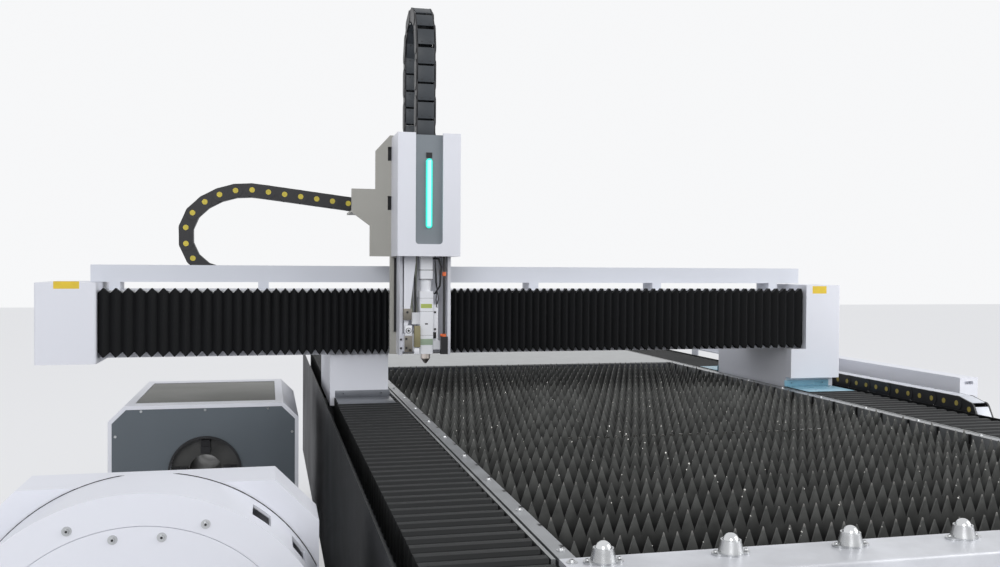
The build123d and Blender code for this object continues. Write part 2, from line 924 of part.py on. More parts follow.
# Z motor behind the carriage plate
with BuildPart() as z_motor:
    z_motor_top = plate_top - z_motor_drop
    block(
        (carriage_x - motor_width / 2, carriage_x + motor_width / 2),
        (plate_rear, plate_rear + motor_width),
        (z_motor_top - z_motor_height, z_motor_top),
    )
    fillet(z_motor.edges().filter_by(Axis.Z), radius=motor_corner)
    block(
        (carriage_x - motor_width / 2, carriage_x + motor_width / 2),
        (plate_rear, plate_rear + motor_width),
        (z_motor_top, z_motor_top + motor_corner),
    )
save(z_motor, "z_motor")

# Head hood: bent sheet, with a window open to the top and a rim round it
hood_y = head_y - hood_lead
with BuildPart() as head_hood:
    block(
        (carriage_x - hood_half, carriage_x + hood_half),
        (hood_y, plate_front),
        (hood_bottom, hood_top),
    )
    fillet(head_hood.edges().filter_by(Axis.Z).group_by(Axis.Y)[0], radius=hood_sheet)
    block(
        (carriage_x - hood_half + hood_sheet, carriage_x + hood_half - hood_sheet),
        (hood_y + hood_sheet, plate_front),
        (hood_bottom, hood_top),
        Mode.SUBTRACT,
    )
    rim = recess_half + hood_sheet
    block(
        (carriage_x - rim, carriage_x + rim),
        (hood_y, hood_y + recess_depth),
        (recess_bottom - hood_sheet, hood_top),
    )
    with BuildSketch(across(hood_y)):
        with Locations((carriage_x, (recess_bottom + hood_top) / 2 + recess_corner)):
            height = hood_top - recess_bottom + 2 * recess_corner
            RectangleRounded(2 * recess_half, height, recess_corner)
    extrude(amount=-recess_depth, mode=Mode.SUBTRACT)
save(head_hood, "head_hood")

# Grey panel behind the window, and the light bar on it
panel_y = hood_y + recess_depth
with BuildPart() as light_panel:
    block(
        (carriage_x - rim, carriage_x + rim),
        (panel_y, panel_y + hood_sheet),
        (recess_bottom - hood_sheet, hood_top - 2 * hood_sheet),
    )
save(light_panel, "light_panel")

with BuildPart() as light_bar:
    with BuildSketch(across(panel_y)):
        with Locations((carriage_x, (light_bottom + light_top) / 2)):
            SlotOverall(light_top - light_bottom, light_width, rotation=90)
    extrude(amount=light_thickness)
save(light_bar, "light_bar")

# Head slide: long plate with two rails, which runs in the channel's blocks
with BuildPart() as z_plate:
    plate_y = (rail_y - z_plate_thickness, rail_y)
    block((carriage_x - z_plate_half, carriage_x + z_plate_half), plate_y, (z_plate_bottom, z_plate_top))
    for side in (-1, 1):
        x = carriage_x + side * z_rail_offset
        block(
            (x - z_rail_width / 2, x + z_rail_width / 2),
            (rail_y, rail_y + z_rail_height),
            (z_plate_bottom, z_plate_top),
        )
    block(
        z_chain_x,
        (z_chain_front - z_link_height / 2, plate_y[0]),
        (z_chain_end - arm_thickness, z_chain_end),
    )
    block(
        (carriage_x - head_width / 2, carriage_x + head_width / 2),
        (head_y + head_width / 2, plate_y[0]),
        (head_bottom + head_width, head_top - head_width / 2),
    )
    block(
        (carriage_x - z_plate_half - head_width / 2, carriage_x - head_width / 2 - seat),
        (head_y - head_width / 4, plate_y[0]),
        (z_plate_bottom, z_plate_bottom + valve_height),
    )
save(z_plate, "z_plate")

# Cutting head: square body, round focus ring, square collimator and the fibre connector
with BuildPart() as cutting_head:
    with BuildSketch(Plane.XY.offset(head_bottom)):
        with Locations((carriage_x, head_y)):
            RectangleRounded(head_width, head_width, head_corner)
    extrude(amount=head_height)
    block(
        (carriage_x - head_width / 2 - sensor_width, carriage_x - head_width / 2),
        (head_y - head_width / 4, head_y + head_width / 4),
        (head_bottom + sensor_rise, head_bottom + sensor_rise + sensor_height),
    )
    block(
        (carriage_x + head_width / 2, carriage_x + valve_place - valve_width / 2 - fit),
        (head_y - head_width / 2, head_y),
        (head_bottom + valve_height / 4, head_bottom + 3 * valve_height / 4),
    )
    with BuildSketch(Plane.XY.offset(head_top)):
        with Locations((carriage_x, head_y)):
            Circle(head_ring_radius)
    extrude(amount=head_ring_height)
    with BuildSketch(Plane.XY.offset(head_ring_top)):
        with Locations((carriage_x, head_y)):
            RectangleRounded(collimator_width, collimator_width, head_corner)
    extrude(amount=collimator_height)
    with BuildSketch(Plane.XY.offset(collimator_top)):
        with Locations((carriage_x, head_y)):
            Circle(connector_radius)
    extrude(amount=connector_height)
save(cutting_head, "cutting_head")

# Nozzle: turned cone with the beam's bore
with BuildPart() as nozzle:
    with BuildSketch(Plane.XZ.offset(-head_y)):
        with BuildLine():
            Polyline(
                (carriage_x + nozzle_bore, nozzle_tip),
                (carriage_x + nozzle_tip_radius, nozzle_tip),
                (carriage_x + nozzle_radius, nozzle_tip + nozzle_cone),
                (carriage_x + nozzle_radius, head_bottom),
                (carriage_x + nozzle_bore, head_bottom),
                close=True,
            )
        make_face()
    revolve(axis=Axis((carriage_x, head_y, 0), (0, 0, 1)))
save(nozzle, "nozzle")

# Head hoses: the gas hose to the valve beside the head, and two slim lines to the head
valve_x = carriage_x + valve_place
valve_y = head_y - head_width / 2 - valve_width / 2 + hose_radius
hose_foot = plate_y[0] - fit
loop_y = valve_y + 2 * hose_radius
right_side = carriage_x + head_width / 2 + fit
left_box = carriage_x - head_width / 2 - sensor_width / 2
hoses = [
    (
        hose_radius,
        [
            (valve_x, valve_y, head_bottom + valve_height),
            (valve_x, valve_y, z_chain_end - 2 * hose_bend),
            (valve_x - hose_radius, hose_foot - hose_bend, z_chain_end + hose_bend),
            (valve_x - 2 * hose_bend, hose_foot - hose_bend, z_chain_end + 2 * hose_bend),
            (valve_x - 2 * hose_bend, hose_foot, z_chain_end + 2 * hose_bend),
        ],
    ),
    (
        slim_hose_radius,
        [
            (right_side, head_y, head_top - 2 * hose_radius),
            (right_side + 2 * hose_radius, head_y, head_top - 2 * hose_radius),
            (valve_x - 3 * hose_radius, loop_y, head_top + hose_bend),
            (valve_x - 2 * hose_radius, loop_y, collimator_top - 2 * hose_bend),
            (valve_x - 4 * hose_radius, loop_y, collimator_top - hose_bend / 2),
            (valve_x - 7 * hose_radius, loop_y + hose_bend, collimator_top - hose_bend / 2),
            (valve_x - 7 * hose_radius, hose_foot, collimator_top - hose_bend / 2),
        ],
    ),
    (
        slim_hose_radius,
        [
            (left_box, head_y, head_bottom + sensor_rise + sensor_height + fit),
            (left_box, head_y, head_top),
            (left_box, hose_foot - hose_bend, collimator_top),
            (left_box, hose_foot, collimator_top),
        ],
    ),
]
with BuildPart() as head_hoses:
    block(
        (valve_x - valve_width / 2, valve_x + valve_width / 2),
        (valve_y - valve_width / 2, valve_y + valve_width / 2),
        (head_bottom, head_bottom + valve_height),
    )
    for radius, points in hoses:
        with BuildLine() as hose_line:
            FilletPolyline(*points, radius=2 * radius)
        with BuildSketch(Plane(origin=points[0], z_dir=hose_line.line % 0)):
            Circle(radius)
        sweep(path=hose_line.line)
save(head_hoses, "head_hoses")


def chain_pins(start, heading, route, pitch):
    """Pin places, one pitch apart, along the straights and arcs of a drag chain.

    A straight is (length, 0) and an arc is (radius, turn), with its turn in degrees.
    """
    pins = []
    u, v = start
    done = 0.0
    for size, turn in route:
        length = size if turn == 0 else size * radians(abs(turn))
        way = 1 if turn > 0 else -1
        c, s = cos(radians(heading)), sin(radians(heading))
        steps = [pitch * len(pins) - done]
        while steps[-1] <= length:
            pins.append(None)
            steps.append(steps[-1] + pitch)
        for i, step in enumerate(steps[:-1] + [length]):
            du = step if turn == 0 else size * sin(step / size)
            dv = 0.0 if turn == 0 else way * size * (1 - cos(step / size))
            place = (u + du * c - dv * s, v + du * s + dv * c)
            if i < len(steps) - 1:
                pins[i - len(steps) + 1] = place
        u, v = place
        done += length
        heading += turn
    return pins


def links(pins, height, radius):
    """Outlines of drag chain links, six-sided so that they clear each other in the bend."""
    for (u0, v0), (u1, v1) in zip(pins, pins[1:]):
        length = hypot(u1 - u0, v1 - v0)
        half = (length - link_gap) / 2
        taper = height / 2 * tan(length / 2 / radius)
        middle = ((u0 + u1) / 2, (v0 + v1) / 2, 0)
        with Locations(Location(middle, degrees(atan2(v1 - v0, u1 - u0)))):
            Polygon(
                (-half, 0),
                (taper - half, -height / 2),
                (half - taper, -height / 2),
                (half, 0),
                (half - taper, height / 2),
                (taper - half, height / 2),
                align=None,
            )


# X drag chain: from the carriage's lug, over the bend and back along the trough
x_chain_floor = trough_floor + trough_sheet + x_link_height / 2 + fit
rise = x_chain_straight * sin(radians(x_chain_rise))
drop = x_chain_gentle * (cos(radians(x_chain_rise)) - cos(radians(x_chain_turn - x_chain_rise)))
x_chain_radius = (x_chain_start + rise - drop - x_chain_floor) / (
    1 + cos(radians(x_chain_turn - x_chain_rise))
)
with BuildPart() as x_chain:
    route = [
        (x_chain_straight, 0),
        (x_chain_gentle, x_chain_turn),
        (x_chain_radius, 180.0 + x_chain_rise - x_chain_turn),
        (x_chain_run, 0),
    ]
    start = (carriage_x - lug_left + x_link, x_chain_start)
    pins = chain_pins(start, 180.0 - x_chain_rise, route, x_link)
    with BuildSketch(across(x_chain_y + x_link_width)):
        links(pins, x_link_height, x_chain_radius)
    extrude(amount=x_link_width)
save(x_chain, "x_chain")

# Y drag chain: from the right saddle's arm, round the bend and back along its trough
with BuildPart() as y_chain:
    route = [
        (arm_y - y_chain_nose, 0),
        (y_chain_radius, 180.0),
        (y_chain_fixed - y_chain_nose, 0),
    ]
    pins = chain_pins((arm_y, y_chain_z), 180.0, route, y_link)
    with BuildSketch(along(y_chain_x)):
        links(pins, y_link_height, y_chain_radius)
    extrude(amount=y_link_width)
save(y_chain, "y_chain")

# Z drag chain: from the head slide, up over the hood and down to the carriage plate
z_chain_length = z_link_count * z_link
z_chain_top = (z_chain_length - pi * z_chain_radius + z_chain_end + plate_top) / 2
with BuildPart() as z_chain:
    route = [
        (z_chain_top - z_chain_end, 0),
        (z_chain_radius, -180.0),
        (z_chain_top - plate_top + link_gap, 0),
    ]
    pins = chain_pins((z_chain_front, z_chain_end), 90.0, route, z_link)
    with BuildSketch(along(z_chain_x[0])):
        links(pins, z_link_height, z_chain_radius)
    extrude(amount=z_link_width)
save(z_chain, "z_chain")

# Trough for the Y chain's lower run, with the posts and the shelf of the side duct
y_chain_floor = y_chain_z - 2 * y_chain_radius - y_link_height / 2 - fit
panel_face = girder_outer + panel_thickness
trough_start = y_chain_nose - y_chain_radius - y_link_height / 2
with BuildPart() as chain_trough:
    trough_end = duct_start + duct_count * duct_section
    trough_z = (y_chain_floor - trough_sheet, y_chain_floor)
    block((panel_face, trough_outer), (trough_start, trough_end), trough_z)
    for i in range(duct_count):
        y = duct_start + duct_section * (i + 0.5)
        block(
            (trough_outer - post_thickness, trough_outer),
            (y - post_width / 2, y + post_width / 2),
            (y_chain_floor, duct_bottom - shelf),
        )
    block(
        (trough_outer - post_thickness, duct_x + duct_width),
        (duct_start, trough_end),
        (duct_bottom - shelf, duct_bottom),
    )
save(chain_trough, "chain_trough")

# Side duct: box sections in a row, with an oval slot in the near end
with BuildPart() as side_duct:
    for i in range(duct_count):
        y = duct_start + duct_section * i
        block(
            (duct_x, duct_x + duct_width),
            (y, y + duct_section - link_gap),
            (duct_bottom, duct_bottom + duct_height),
        )
    with BuildSketch(across(duct_start)):
        with Locations((duct_x + duct_width / 2, duct_bottom + duct_height - duct_slot_depth)):
            SlotOverall(duct_slot_width, duct_slot_height)
    extrude(amount=-duct_slot_depth, mode=Mode.SUBTRACT)
save(side_duct, "side_duct")

# Tube bed: two beams, cross members and ties to the sheet bed, with the chuck rails on top
tube_end = tube_beam_width / 2
tube_crosses = [tube_bed_start + tube_end, (tube_bed_start + leg_places[1]) / 2]
tube_crosses += [leg_places[1], leg_places[2], tube_bed_end - tube_end]
with BuildPart() as tube_bed:
    for side in (-1, 1):
        x = tube_x + side * tube_beam_offset
        block(
            (x - tube_beam_width / 2, x + tube_beam_width / 2),
            (tube_bed_start, tube_bed_end),
            (tube_beam_bottom, tube_beam_top),
        )
        block(
            (x - tube_rail_width / 2, x + tube_rail_width / 2),
            (tube_bed_start + end_gap, tube_rail_end),
            (tube_beam_top, tube_beam_top + tube_rail_height),
        )
    for y in tube_crosses:
        block(
            (tube_x - tube_beam_offset, tube_x + tube_beam_offset),
            (y - cross_width / 2, y + cross_width / 2),
            (tube_beam_bottom, tube_beam_bottom + tube_cross_height),
        )
    for y in leg_places[1:3]:
        block(
            (tube_x + tube_beam_offset, -leg_outer),
            (y - tube_cross_height / 2, y + tube_cross_height / 2),
            (tube_beam_bottom + end_gap, tube_beam_bottom + tube_cross_height),
        )
save(tube_bed, "tube_bed")

# Levelling feet under both beds
with BuildPart() as machine_feet:
    feet = [(side * (leg_inner + leg_outer) / 2, y) for side in (-1, 1) for y in leg_places]
    feet += [
        (tube_x + side * tube_beam_offset, y)
        for side in (-1, 1)
        for y in (tube_crosses[0], tube_crosses[2], tube_crosses[4])
    ]
    with BuildSketch():
        with Locations(*feet):
            Circle(foot_radius)
    extrude(amount=foot_plate)
    with BuildSketch(Plane.XY.offset(foot_plate)):
        with Locations(*feet):
            Circle(foot_screw_radius)
    extrude(amount=foot_height - foot_plate)
save(machine_feet, "machine_feet")


def housing_outline(half, bottom, top, chamfer_size):
    """Chuck housing section: a box with its two upper corners cut off."""
    Polygon(
        (tube_x - half, bottom),
        (tube_x + half, bottom),
        (tube_x + half, top - chamfer_size),
        (tube_x + half - chamfer_size, top),
        (tube_x - half + chamfer_size, top),
        (tube_x - half, top - chamfer_size),
        align=None,
    )


# Far chuck: fixed housing with a through bore, framed front panel and a sunk top panel
with BuildPart() as far_housing:
    with BuildSketch(across(far_front)):
        housing_outline(far_half, tube_beam_top, far_top, far_chamfer)
    extrude(amount=-far_length)
    with BuildSketch(across(far_front)):
        inner = far_border
        housing_outline(far_half - inner, tube_beam_top + inner, far_top - inner, far_chamfer - inner / 2)
    extrude(amount=-far_panel, mode=Mode.SUBTRACT)
    with BuildSketch(Plane.XY.offset(far_top)):
        with Locations((tube_x, far_front + far_length / 2)):
            Rectangle(
                2 * (far_half - far_chamfer - top_panel_side), far_length - 2 * top_panel_end
            )
    extrude(amount=-top_panel_depth, mode=Mode.SUBTRACT)
    with Locations(Location((tube_x, far_front + far_length / 2, tube_z), (90, 0, 0))):
        Cylinder(spindle_radius, far_length, mode=Mode.SUBTRACT)
save(far_housing, "far_chuck_housing")

with BuildPart() as far_chuck_panel:
    with BuildSketch(across(far_front + far_panel)):
        inner = far_border + seat
        housing_outline(far_half - inner, tube_beam_top + inner, far_top - inner, far_chamfer - inner / 2)
        with Locations((tube_x, tube_z)):
            Circle(spindle_radius, mode=Mode.SUBTRACT)
    extrude(amount=far_panel)
save(far_chuck_panel, "far_chuck_panel")

with BuildPart() as far_chuck_ring:
    with BuildSketch(across(far_front)):
        with Locations((tube_x, tube_z)):
            Circle(spindle_radius + ring_width)
            Circle(spindle_radius, mode=Mode.SUBTRACT)
    extrude(amount=ring_width)
save(far_chuck_ring, "far_chuck_ring")

with BuildPart() as far_rotor:
    with BuildSketch(across(far_front + far_recess)):
        with Locations((tube_x, tube_z)):
            Circle(spindle_radius - fit)
            Circle(tube_bore, mode=Mode.SUBTRACT)
    extrude(amount=-(far_length - far_recess + flange_thickness / 4))
save(far_rotor, "far_chuck_rotor")

# Near chuck: housing that slides on the tube bed, with its round drum cover
with BuildPart() as near_housing:
    with BuildSketch(across(near_front)):
        housing_outline(near_half, near_bottom, near_top, near_chamfer)
    extrude(amount=-near_length)
    with Locations(Location((tube_x, near_front + near_length / 2, tube_z), (90, 0, 0))):
        Cylinder(spindle_radius, near_length, mode=Mode.SUBTRACT)
save(near_housing, "near_chuck_housing")

with BuildPart() as near_cover:
    with BuildSketch(across(near_front)):
        with Locations((tube_x, tube_z)):
            Circle(drum_radius)
        with Locations((tube_x, drum_middle)):
            Rectangle(2 * (near_half - drum_inset), drum_top - near_bottom, mode=Mode.INTERSECT)
    extrude(amount=drum_depth)
    with BuildSketch(across(near_front)):
        with Locations((tube_x, tube_z)):
            Circle(drum_radius - drum_wall)
        with Locations((tube_x, drum_middle)):
            Rectangle(
                2 * (near_half - drum_inset - drum_wall),
                drum_top - near_bottom - 2 * drum_wall,
                mode=Mode.INTERSECT,
            )
    extrude(amount=drum_depth - drum_wall, mode=Mode.SUBTRACT)
    with BuildSketch(across(near_front)):
        with Locations((tube_x, tube_z)):
            Circle(drum_radius)
        with Locations((tube_x, near_top - drum_wall + drum_radius)):
            Rectangle(2 * drum_radius, 2 * drum_radius, mode=Mode.INTERSECT)
    extrude(amount=drum_wall)
    with BuildSketch(across(near_front - drum_depth)):
        with Locations((tube_x, tube_z)):
            Circle(lid_radius)
            Circle(lid_radius - lid_groove, mode=Mode.SUBTRACT)
    extrude(amount=-drum_wall / 2, mode=Mode.SUBTRACT)
    for angle in window_angles:
        spot = Plane(
            origin=(tube_x, near_front - window_place, tube_z),
            x_dir=(0, 1, 0),
            z_dir=(cos(radians(angle)), 0, sin(radians(angle))),
        )
        with BuildSketch(spot.offset(drum_radius - 3 * drum_wall)):
            Rectangle(window_length, window_width)
        extrude(amount=4 * drum_wall, mode=Mode.SUBTRACT)
save(near_cover, "near_chuck_cover")

with BuildPart() as near_rotor:
    with BuildSketch(across(near_rear + fit)):
        with Locations((tube_x, tube_z)):
            Circle(spindle_radius - fit)
            Circle(tube_bore, mode=Mode.SUBTRACT)
    extrude(amount=near_spindle)
    with BuildSketch(across(near_rear + fit)):
        with Locations((tube_x, tube_z)):
            Circle(flange_radius)
            Circle(tube_bore, mode=Mode.SUBTRACT)
    extrude(amount=-flange_thickness)
save(near_rotor, "near_chuck_rotor")

with BuildPart() as tube_blocks:
    for side in (-1, 1):
        x = tube_x + side * tube_beam_offset
        for y in (near_front + tube_block_gap, near_rear - tube_block_gap - tube_block_length):
            length = (y, y + tube_block_length)
            foot = tube_beam_top + block_ground
            block((x - tube_block_half, x + tube_block_half), length, (foot, near_bottom))
            half = tube_rail_width / 2 + fit
            rail_top = tube_beam_top + tube_rail_height + fit
            block((x - half, x + half), length, (foot, rail_top), Mode.SUBTRACT)
save(tube_blocks, "tube_blocks")

# Chuck jaws: stepped blocks, four on each rotor's face
for name, face, towards in (
    ("far_jaw", far_front + far_recess, -1),
    ("near_jaw", near_rear + fit + flange_thickness, 1),
):
    for i in range(4):
        turn = 90 * i
        out = (cos(radians(turn)), 0, sin(radians(turn)))
        on_face = Plane(origin=(tube_x, face + towards * seat, tube_z), x_dir=out, z_dir=(0, towards, 0))
        with BuildPart() as jaw:
            with BuildSketch(on_face):
                with Locations((jaw_rest + jaw_length / 2, 0)):
                    Rectangle(jaw_length, jaw_width)
            extrude(amount=jaw_thickness / 2)
            with BuildSketch(on_face.offset(jaw_thickness / 2)):
                with Locations((jaw_rest + jaw_length / 4, 0)):
                    Rectangle(jaw_length / 2, jaw_width)
            extrude(amount=jaw_thickness / 2)
        save(jaw, f"{name}_{i + 1}")
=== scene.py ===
import bmesh
import bpy
import random
from math import atan2, cos, pi, radians, sin
from mathutils import Matrix, Vector
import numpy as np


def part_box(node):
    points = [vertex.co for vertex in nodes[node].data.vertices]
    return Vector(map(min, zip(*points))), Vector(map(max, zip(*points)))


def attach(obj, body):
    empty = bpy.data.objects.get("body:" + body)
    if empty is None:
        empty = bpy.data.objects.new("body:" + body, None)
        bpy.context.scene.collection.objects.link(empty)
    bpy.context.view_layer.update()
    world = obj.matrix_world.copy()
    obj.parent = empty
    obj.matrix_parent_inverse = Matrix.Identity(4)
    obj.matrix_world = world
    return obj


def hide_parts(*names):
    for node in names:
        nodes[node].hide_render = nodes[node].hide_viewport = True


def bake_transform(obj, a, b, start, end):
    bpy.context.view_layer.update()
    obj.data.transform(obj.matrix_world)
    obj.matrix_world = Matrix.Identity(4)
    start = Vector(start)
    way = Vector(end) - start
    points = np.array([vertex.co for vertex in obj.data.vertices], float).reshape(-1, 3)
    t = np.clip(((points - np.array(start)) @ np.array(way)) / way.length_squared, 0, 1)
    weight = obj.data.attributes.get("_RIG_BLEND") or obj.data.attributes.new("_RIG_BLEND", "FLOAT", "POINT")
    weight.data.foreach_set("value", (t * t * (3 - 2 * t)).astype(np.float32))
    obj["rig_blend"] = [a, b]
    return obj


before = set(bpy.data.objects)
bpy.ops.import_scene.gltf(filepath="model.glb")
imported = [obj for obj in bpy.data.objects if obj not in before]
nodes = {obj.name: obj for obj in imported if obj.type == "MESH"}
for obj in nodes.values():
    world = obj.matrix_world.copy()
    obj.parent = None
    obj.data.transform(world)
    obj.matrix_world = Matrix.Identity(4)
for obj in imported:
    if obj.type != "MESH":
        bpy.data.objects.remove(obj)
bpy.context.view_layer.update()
random.seed(11)

# Camera: stands at the operator's left, at eye height, and looks along the bed.
# It has the photograph's angle, with no depth of field.
camera = bpy.data.cameras.new("camera")
camera.sensor_width = 36.0
camera.lens = 35.28
camera.clip_end = 200.0
eye = bpy.data.objects.new("camera", camera)
eye.location = (-0.9325, -3.26, 1.36)
eye.rotation_euler = (radians(89.0277), radians(-0.338), radians(-13.3166))
bpy.context.scene.collection.objects.link(eye)
bpy.context.scene.camera = eye
bpy.context.scene.view_settings.view_transform = "Standard"


# Studio floor: one large pale sheet, slightly matt, which takes the machine's shadow.
def compute(tree, operation, first, second):
    """One step of arithmetic in a node tree, on sockets or on a socket and a number."""
    made = tree.nodes.new("ShaderNodeMath")
    made.operation = operation
    for value, socket in zip((first, second), made.inputs):
        if isinstance(value, float):
            socket.default_value = value
        else:
            tree.links.new(value, socket)
    return made.outputs[0]


floor_size = 60.0
seen_glow = 0.55
floor_shape = bmesh.new()
bmesh.ops.create_grid(floor_shape, x_segments=1, y_segments=1, size=floor_size / 2)
floor_mesh = bpy.data.meshes.new("floor")
floor_shape.to_mesh(floor_mesh)
floor_shape.free()
floor = bpy.data.objects.new("floor", floor_mesh)
floor_look = bpy.data.materials.new("floor")
floor_look.use_nodes = True
floor_tree = floor_look.node_tree
floor_coat = floor_tree.nodes["Principled BSDF"]
floor_coat.inputs["Base Color"].default_value = (0.86, 0.86, 0.87, 1)
floor_coat.inputs["Roughness"].default_value = 0.8
pale = floor_tree.nodes.new("ShaderNodeEmission")
pale.inputs["Color"].default_value = (0.90, 0.905, 0.915, 1)
seen = floor_tree.nodes.new("ShaderNodeLightPath")
part_seen = compute(floor_tree, "MULTIPLY", seen.outputs["Is Camera Ray"], seen_glow)
lifted = floor_tree.nodes.new("ShaderNodeMixShader")
floor_tree.links.new(part_seen, lifted.inputs["Fac"])
floor_tree.links.new(floor_coat.outputs[0], lifted.inputs[1])
floor_tree.links.new(pale.outputs[0], lifted.inputs[2])
floor_tree.links.new(lifted.outputs[0], floor_tree.nodes["Material Output"].inputs["Surface"])
floor_mesh.materials.append(floor_look)
bpy.context.scene.collection.objects.link(floor)

# Studio light: an even pale sky, which the camera and the metal see as white, and two large
# soft lamps, one at the right and one over the operator's shoulder.
sky = bpy.data.worlds.new("sky")
bpy.context.scene.world = sky
sky.use_nodes = True
sky_tree = sky.node_tree
sky_even = sky_tree.nodes["Background"]
sky_even.inputs["Color"].default_value = (0.93, 0.95, 1.0, 1)
sky_even.inputs["Strength"].default_value = 0.70
sky_seen = sky_tree.nodes.new("ShaderNodeBackground")
sky_seen.inputs["Color"].default_value = (0.93, 0.935, 0.945, 1)
sky_seen.inputs["Strength"].default_value = 1.0
rays = sky_tree.nodes.new("ShaderNodeLightPath")
glossy = compute(sky_tree, "MAXIMUM", rays.outputs["Is Camera Ray"], rays.outputs["Is Glossy Ray"])
clear = compute(sky_tree, "MAXIMUM", glossy, rays.outputs["Is Transmission Ray"])
either = sky_tree.nodes.new("ShaderNodeMixShader")
sky_tree.links.new(clear, either.inputs["Fac"])
sky_tree.links.new(sky_even.outputs[0], either.inputs[1])
sky_tree.links.new(sky_seen.outputs[0], either.inputs[2])
sky_tree.links.new(either.outputs[0], sky_tree.nodes["World Output"].inputs["Surface"])
for lamp_name, place, aim, size, power in (
    ("right_lamp", (5.2, -3.0, 3.6), (0.0, 0.5, 0.9), 4.0, 180.0),
    ("shoulder_lamp", (-3.6, -10.0, 6.0), (0.0, 0.5, 0.9), 5.0, 330.0),
):
    lamp = bpy.data.lights.new(lamp_name, "AREA")
    lamp.shape = "SQUARE"
    lamp.size = size
    lamp.energy = power
    lamp_object = bpy.data.objects.new(lamp_name, lamp)
    lamp_object.location = place
    lamp_object.rotation_euler = (Vector(aim) - Vector(place)).to_track_quat("-Z", "Y").to_euler()
    bpy.context.scene.collection.objects.link(lamp_object)

# The machine is drawn in its own millimetres: X from the middle of the table, Y from the near
# plate's front and Z from the floor. The near plate gives that place in the frame.
datum_low, datum_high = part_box("near_end_plate")
table_middle = (datum_low.x + datum_high.x) / 2
machine = Matrix.Translation((table_middle, datum_low.y, 0)) @ Matrix.Scale(0.001, 4)


def span(node):
    """The lowest and the highest corner of a CAD piece, in the machine's millimetres."""
    back = machine.inverted()
    return [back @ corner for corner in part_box(node)]


# Bed, tube bed and scrap trays: welded plate and box section with a fine-grained powder coat,
# dark grey on the frame and nearly black on the side sheets.
def ramp(tree, source, start, end, low=0.0, high=1.0):
    """Turns a value's run from start to end into a run from low to high."""
    made = tree.nodes.new("ShaderNodeMapRange")
    for name, value in (("From Min", start), ("From Max", end), ("To Min", low), ("To Max", high)):
        made.inputs[name].default_value = value
    tree.links.new(source, made.inputs["Value"])
    return made.outputs["Result"]


def finish(name, colour, roughness, grains, relief, metallic=0.0, cloud=3.0, fade=0.88):
    """A worked surface: slow clouds in its colour and gloss, and a fine grain as relief.

    grains is the number of grains to the metre, and relief is their height in metres.
    """
    look = bpy.data.materials.new(name)
    look.use_nodes = True
    tree = look.node_tree
    coat = tree.nodes["Principled BSDF"]
    coat.inputs["Metallic"].default_value = metallic
    where = tree.nodes.new("ShaderNodeTexCoord")
    clouds = tree.nodes.new("ShaderNodeTexNoise")
    clouds.inputs["Scale"].default_value = cloud
    clouds.inputs["Detail"].default_value = 6.0
    tree.links.new(where.outputs["Object"], clouds.inputs["Vector"])
    tint = tree.nodes.new("ShaderNodeValToRGB")
    tint.name = "tint"
    tint.color_ramp.elements[0].position = 0.35
    tint.color_ramp.elements[0].color = (*[part * fade for part in colour], 1)
    tint.color_ramp.elements[1].position = 0.62
    tint.color_ramp.elements[1].color = (*colour, 1)
    tree.links.new(clouds.outputs["Fac"], tint.inputs["Fac"])
    tree.links.new(tint.outputs["Color"], coat.inputs["Base Color"])
    gloss = ramp(tree, clouds.outputs["Fac"], 0.3, 0.7, roughness - 0.06, roughness + 0.06)
    tree.links.new(gloss, coat.inputs["Roughness"])
    grain = tree.nodes.new("ShaderNodeTexNoise")
    grain.inputs["Scale"].default_value = grains
    grain.inputs["Detail"].default_value = 3.0
    tree.links.new(where.outputs["Object"], grain.inputs["Vector"])
    bump = tree.nodes.new("ShaderNodeBump")
    bump.inputs["Distance"].default_value = relief
    bump.inputs["Strength"].default_value = 0.6
    tree.links.new(grain.outputs["Fac"], bump.inputs["Height"])
    tree.links.new(bump.outputs["Normal"], coat.inputs["Normal"])
    return look


def coat(look, *names):
    """Gives CAD pieces a finish."""
    for name in names:
        for place in nodes[name].material_slots:
            place.material = look


def dull(look, sheen):
    """Lowers the mirror share of a look, for a surface that hardly shines."""
    look.node_tree.nodes["Principled BSDF"].inputs["Specular IOR Level"].default_value = sheen


bed_coat = finish("bed_coat", (0.050, 0.053, 0.060), 0.55, 900, 0.0002)
coat(bed_coat, "bed_frame", "tube_bed", "scrap_tray_near", "scrap_tray_far")
side_coat = finish("side_coat", (0.005, 0.0055, 0.006), 0.50, 900, 0.0002)
dull(side_coat, 0.2)
coat(side_coat, "side_panels")

# Steel that is ground or rolled: the guides and their blocks, and the strips beside the table.
# The rear deck is galvanised sheet. Motors and jaws are blackened steel, the feet are plated.
ground_steel = finish("ground_steel", (0.50, 0.51, 0.52), 0.28, 700, 0.00005, 1.0, 8.0, 0.85)
rolled_steel = finish("rolled_steel", (0.36, 0.37, 0.37), 0.38, 500, 0.0001, 0.9, 6.0, 0.7)
galvanised = finish("galvanised", (0.42, 0.43, 0.43), 0.40, 160, 0.0001, 0.8, 14.0, 0.78)
zinc = finish("zinc", (0.55, 0.56, 0.57), 0.30, 800, 0.00005, 1.0, 20.0, 0.8)
black_steel = finish("black_steel", (0.035, 0.035, 0.038), 0.42, 600, 0.0001, 0.6, 6.0, 0.8)
turned_grey = finish("turned_grey", (0.085, 0.085, 0.082), 0.40, 500, 0.0001, 0.5, 12.0, 0.75)
ball_steel = finish("ball_steel", (0.70, 0.71, 0.72), 0.08, 300, 0.00002, 1.0, 30.0, 0.9)
coat(ground_steel, "y_rails", "x_rails", "y_blocks", "x_blocks", "tube_blocks")
coat(rolled_steel, "guide_strips")
coat(galvanised, "rear_deck")
coat(zinc, "machine_feet", "transfer_cups")
coat(black_steel, "x_gearmotor", "y_gearmotors", "z_motor")
coat(black_steel, *[f"{which}_jaw_{i}" for which in ("near", "far") for i in range(1, 5)])
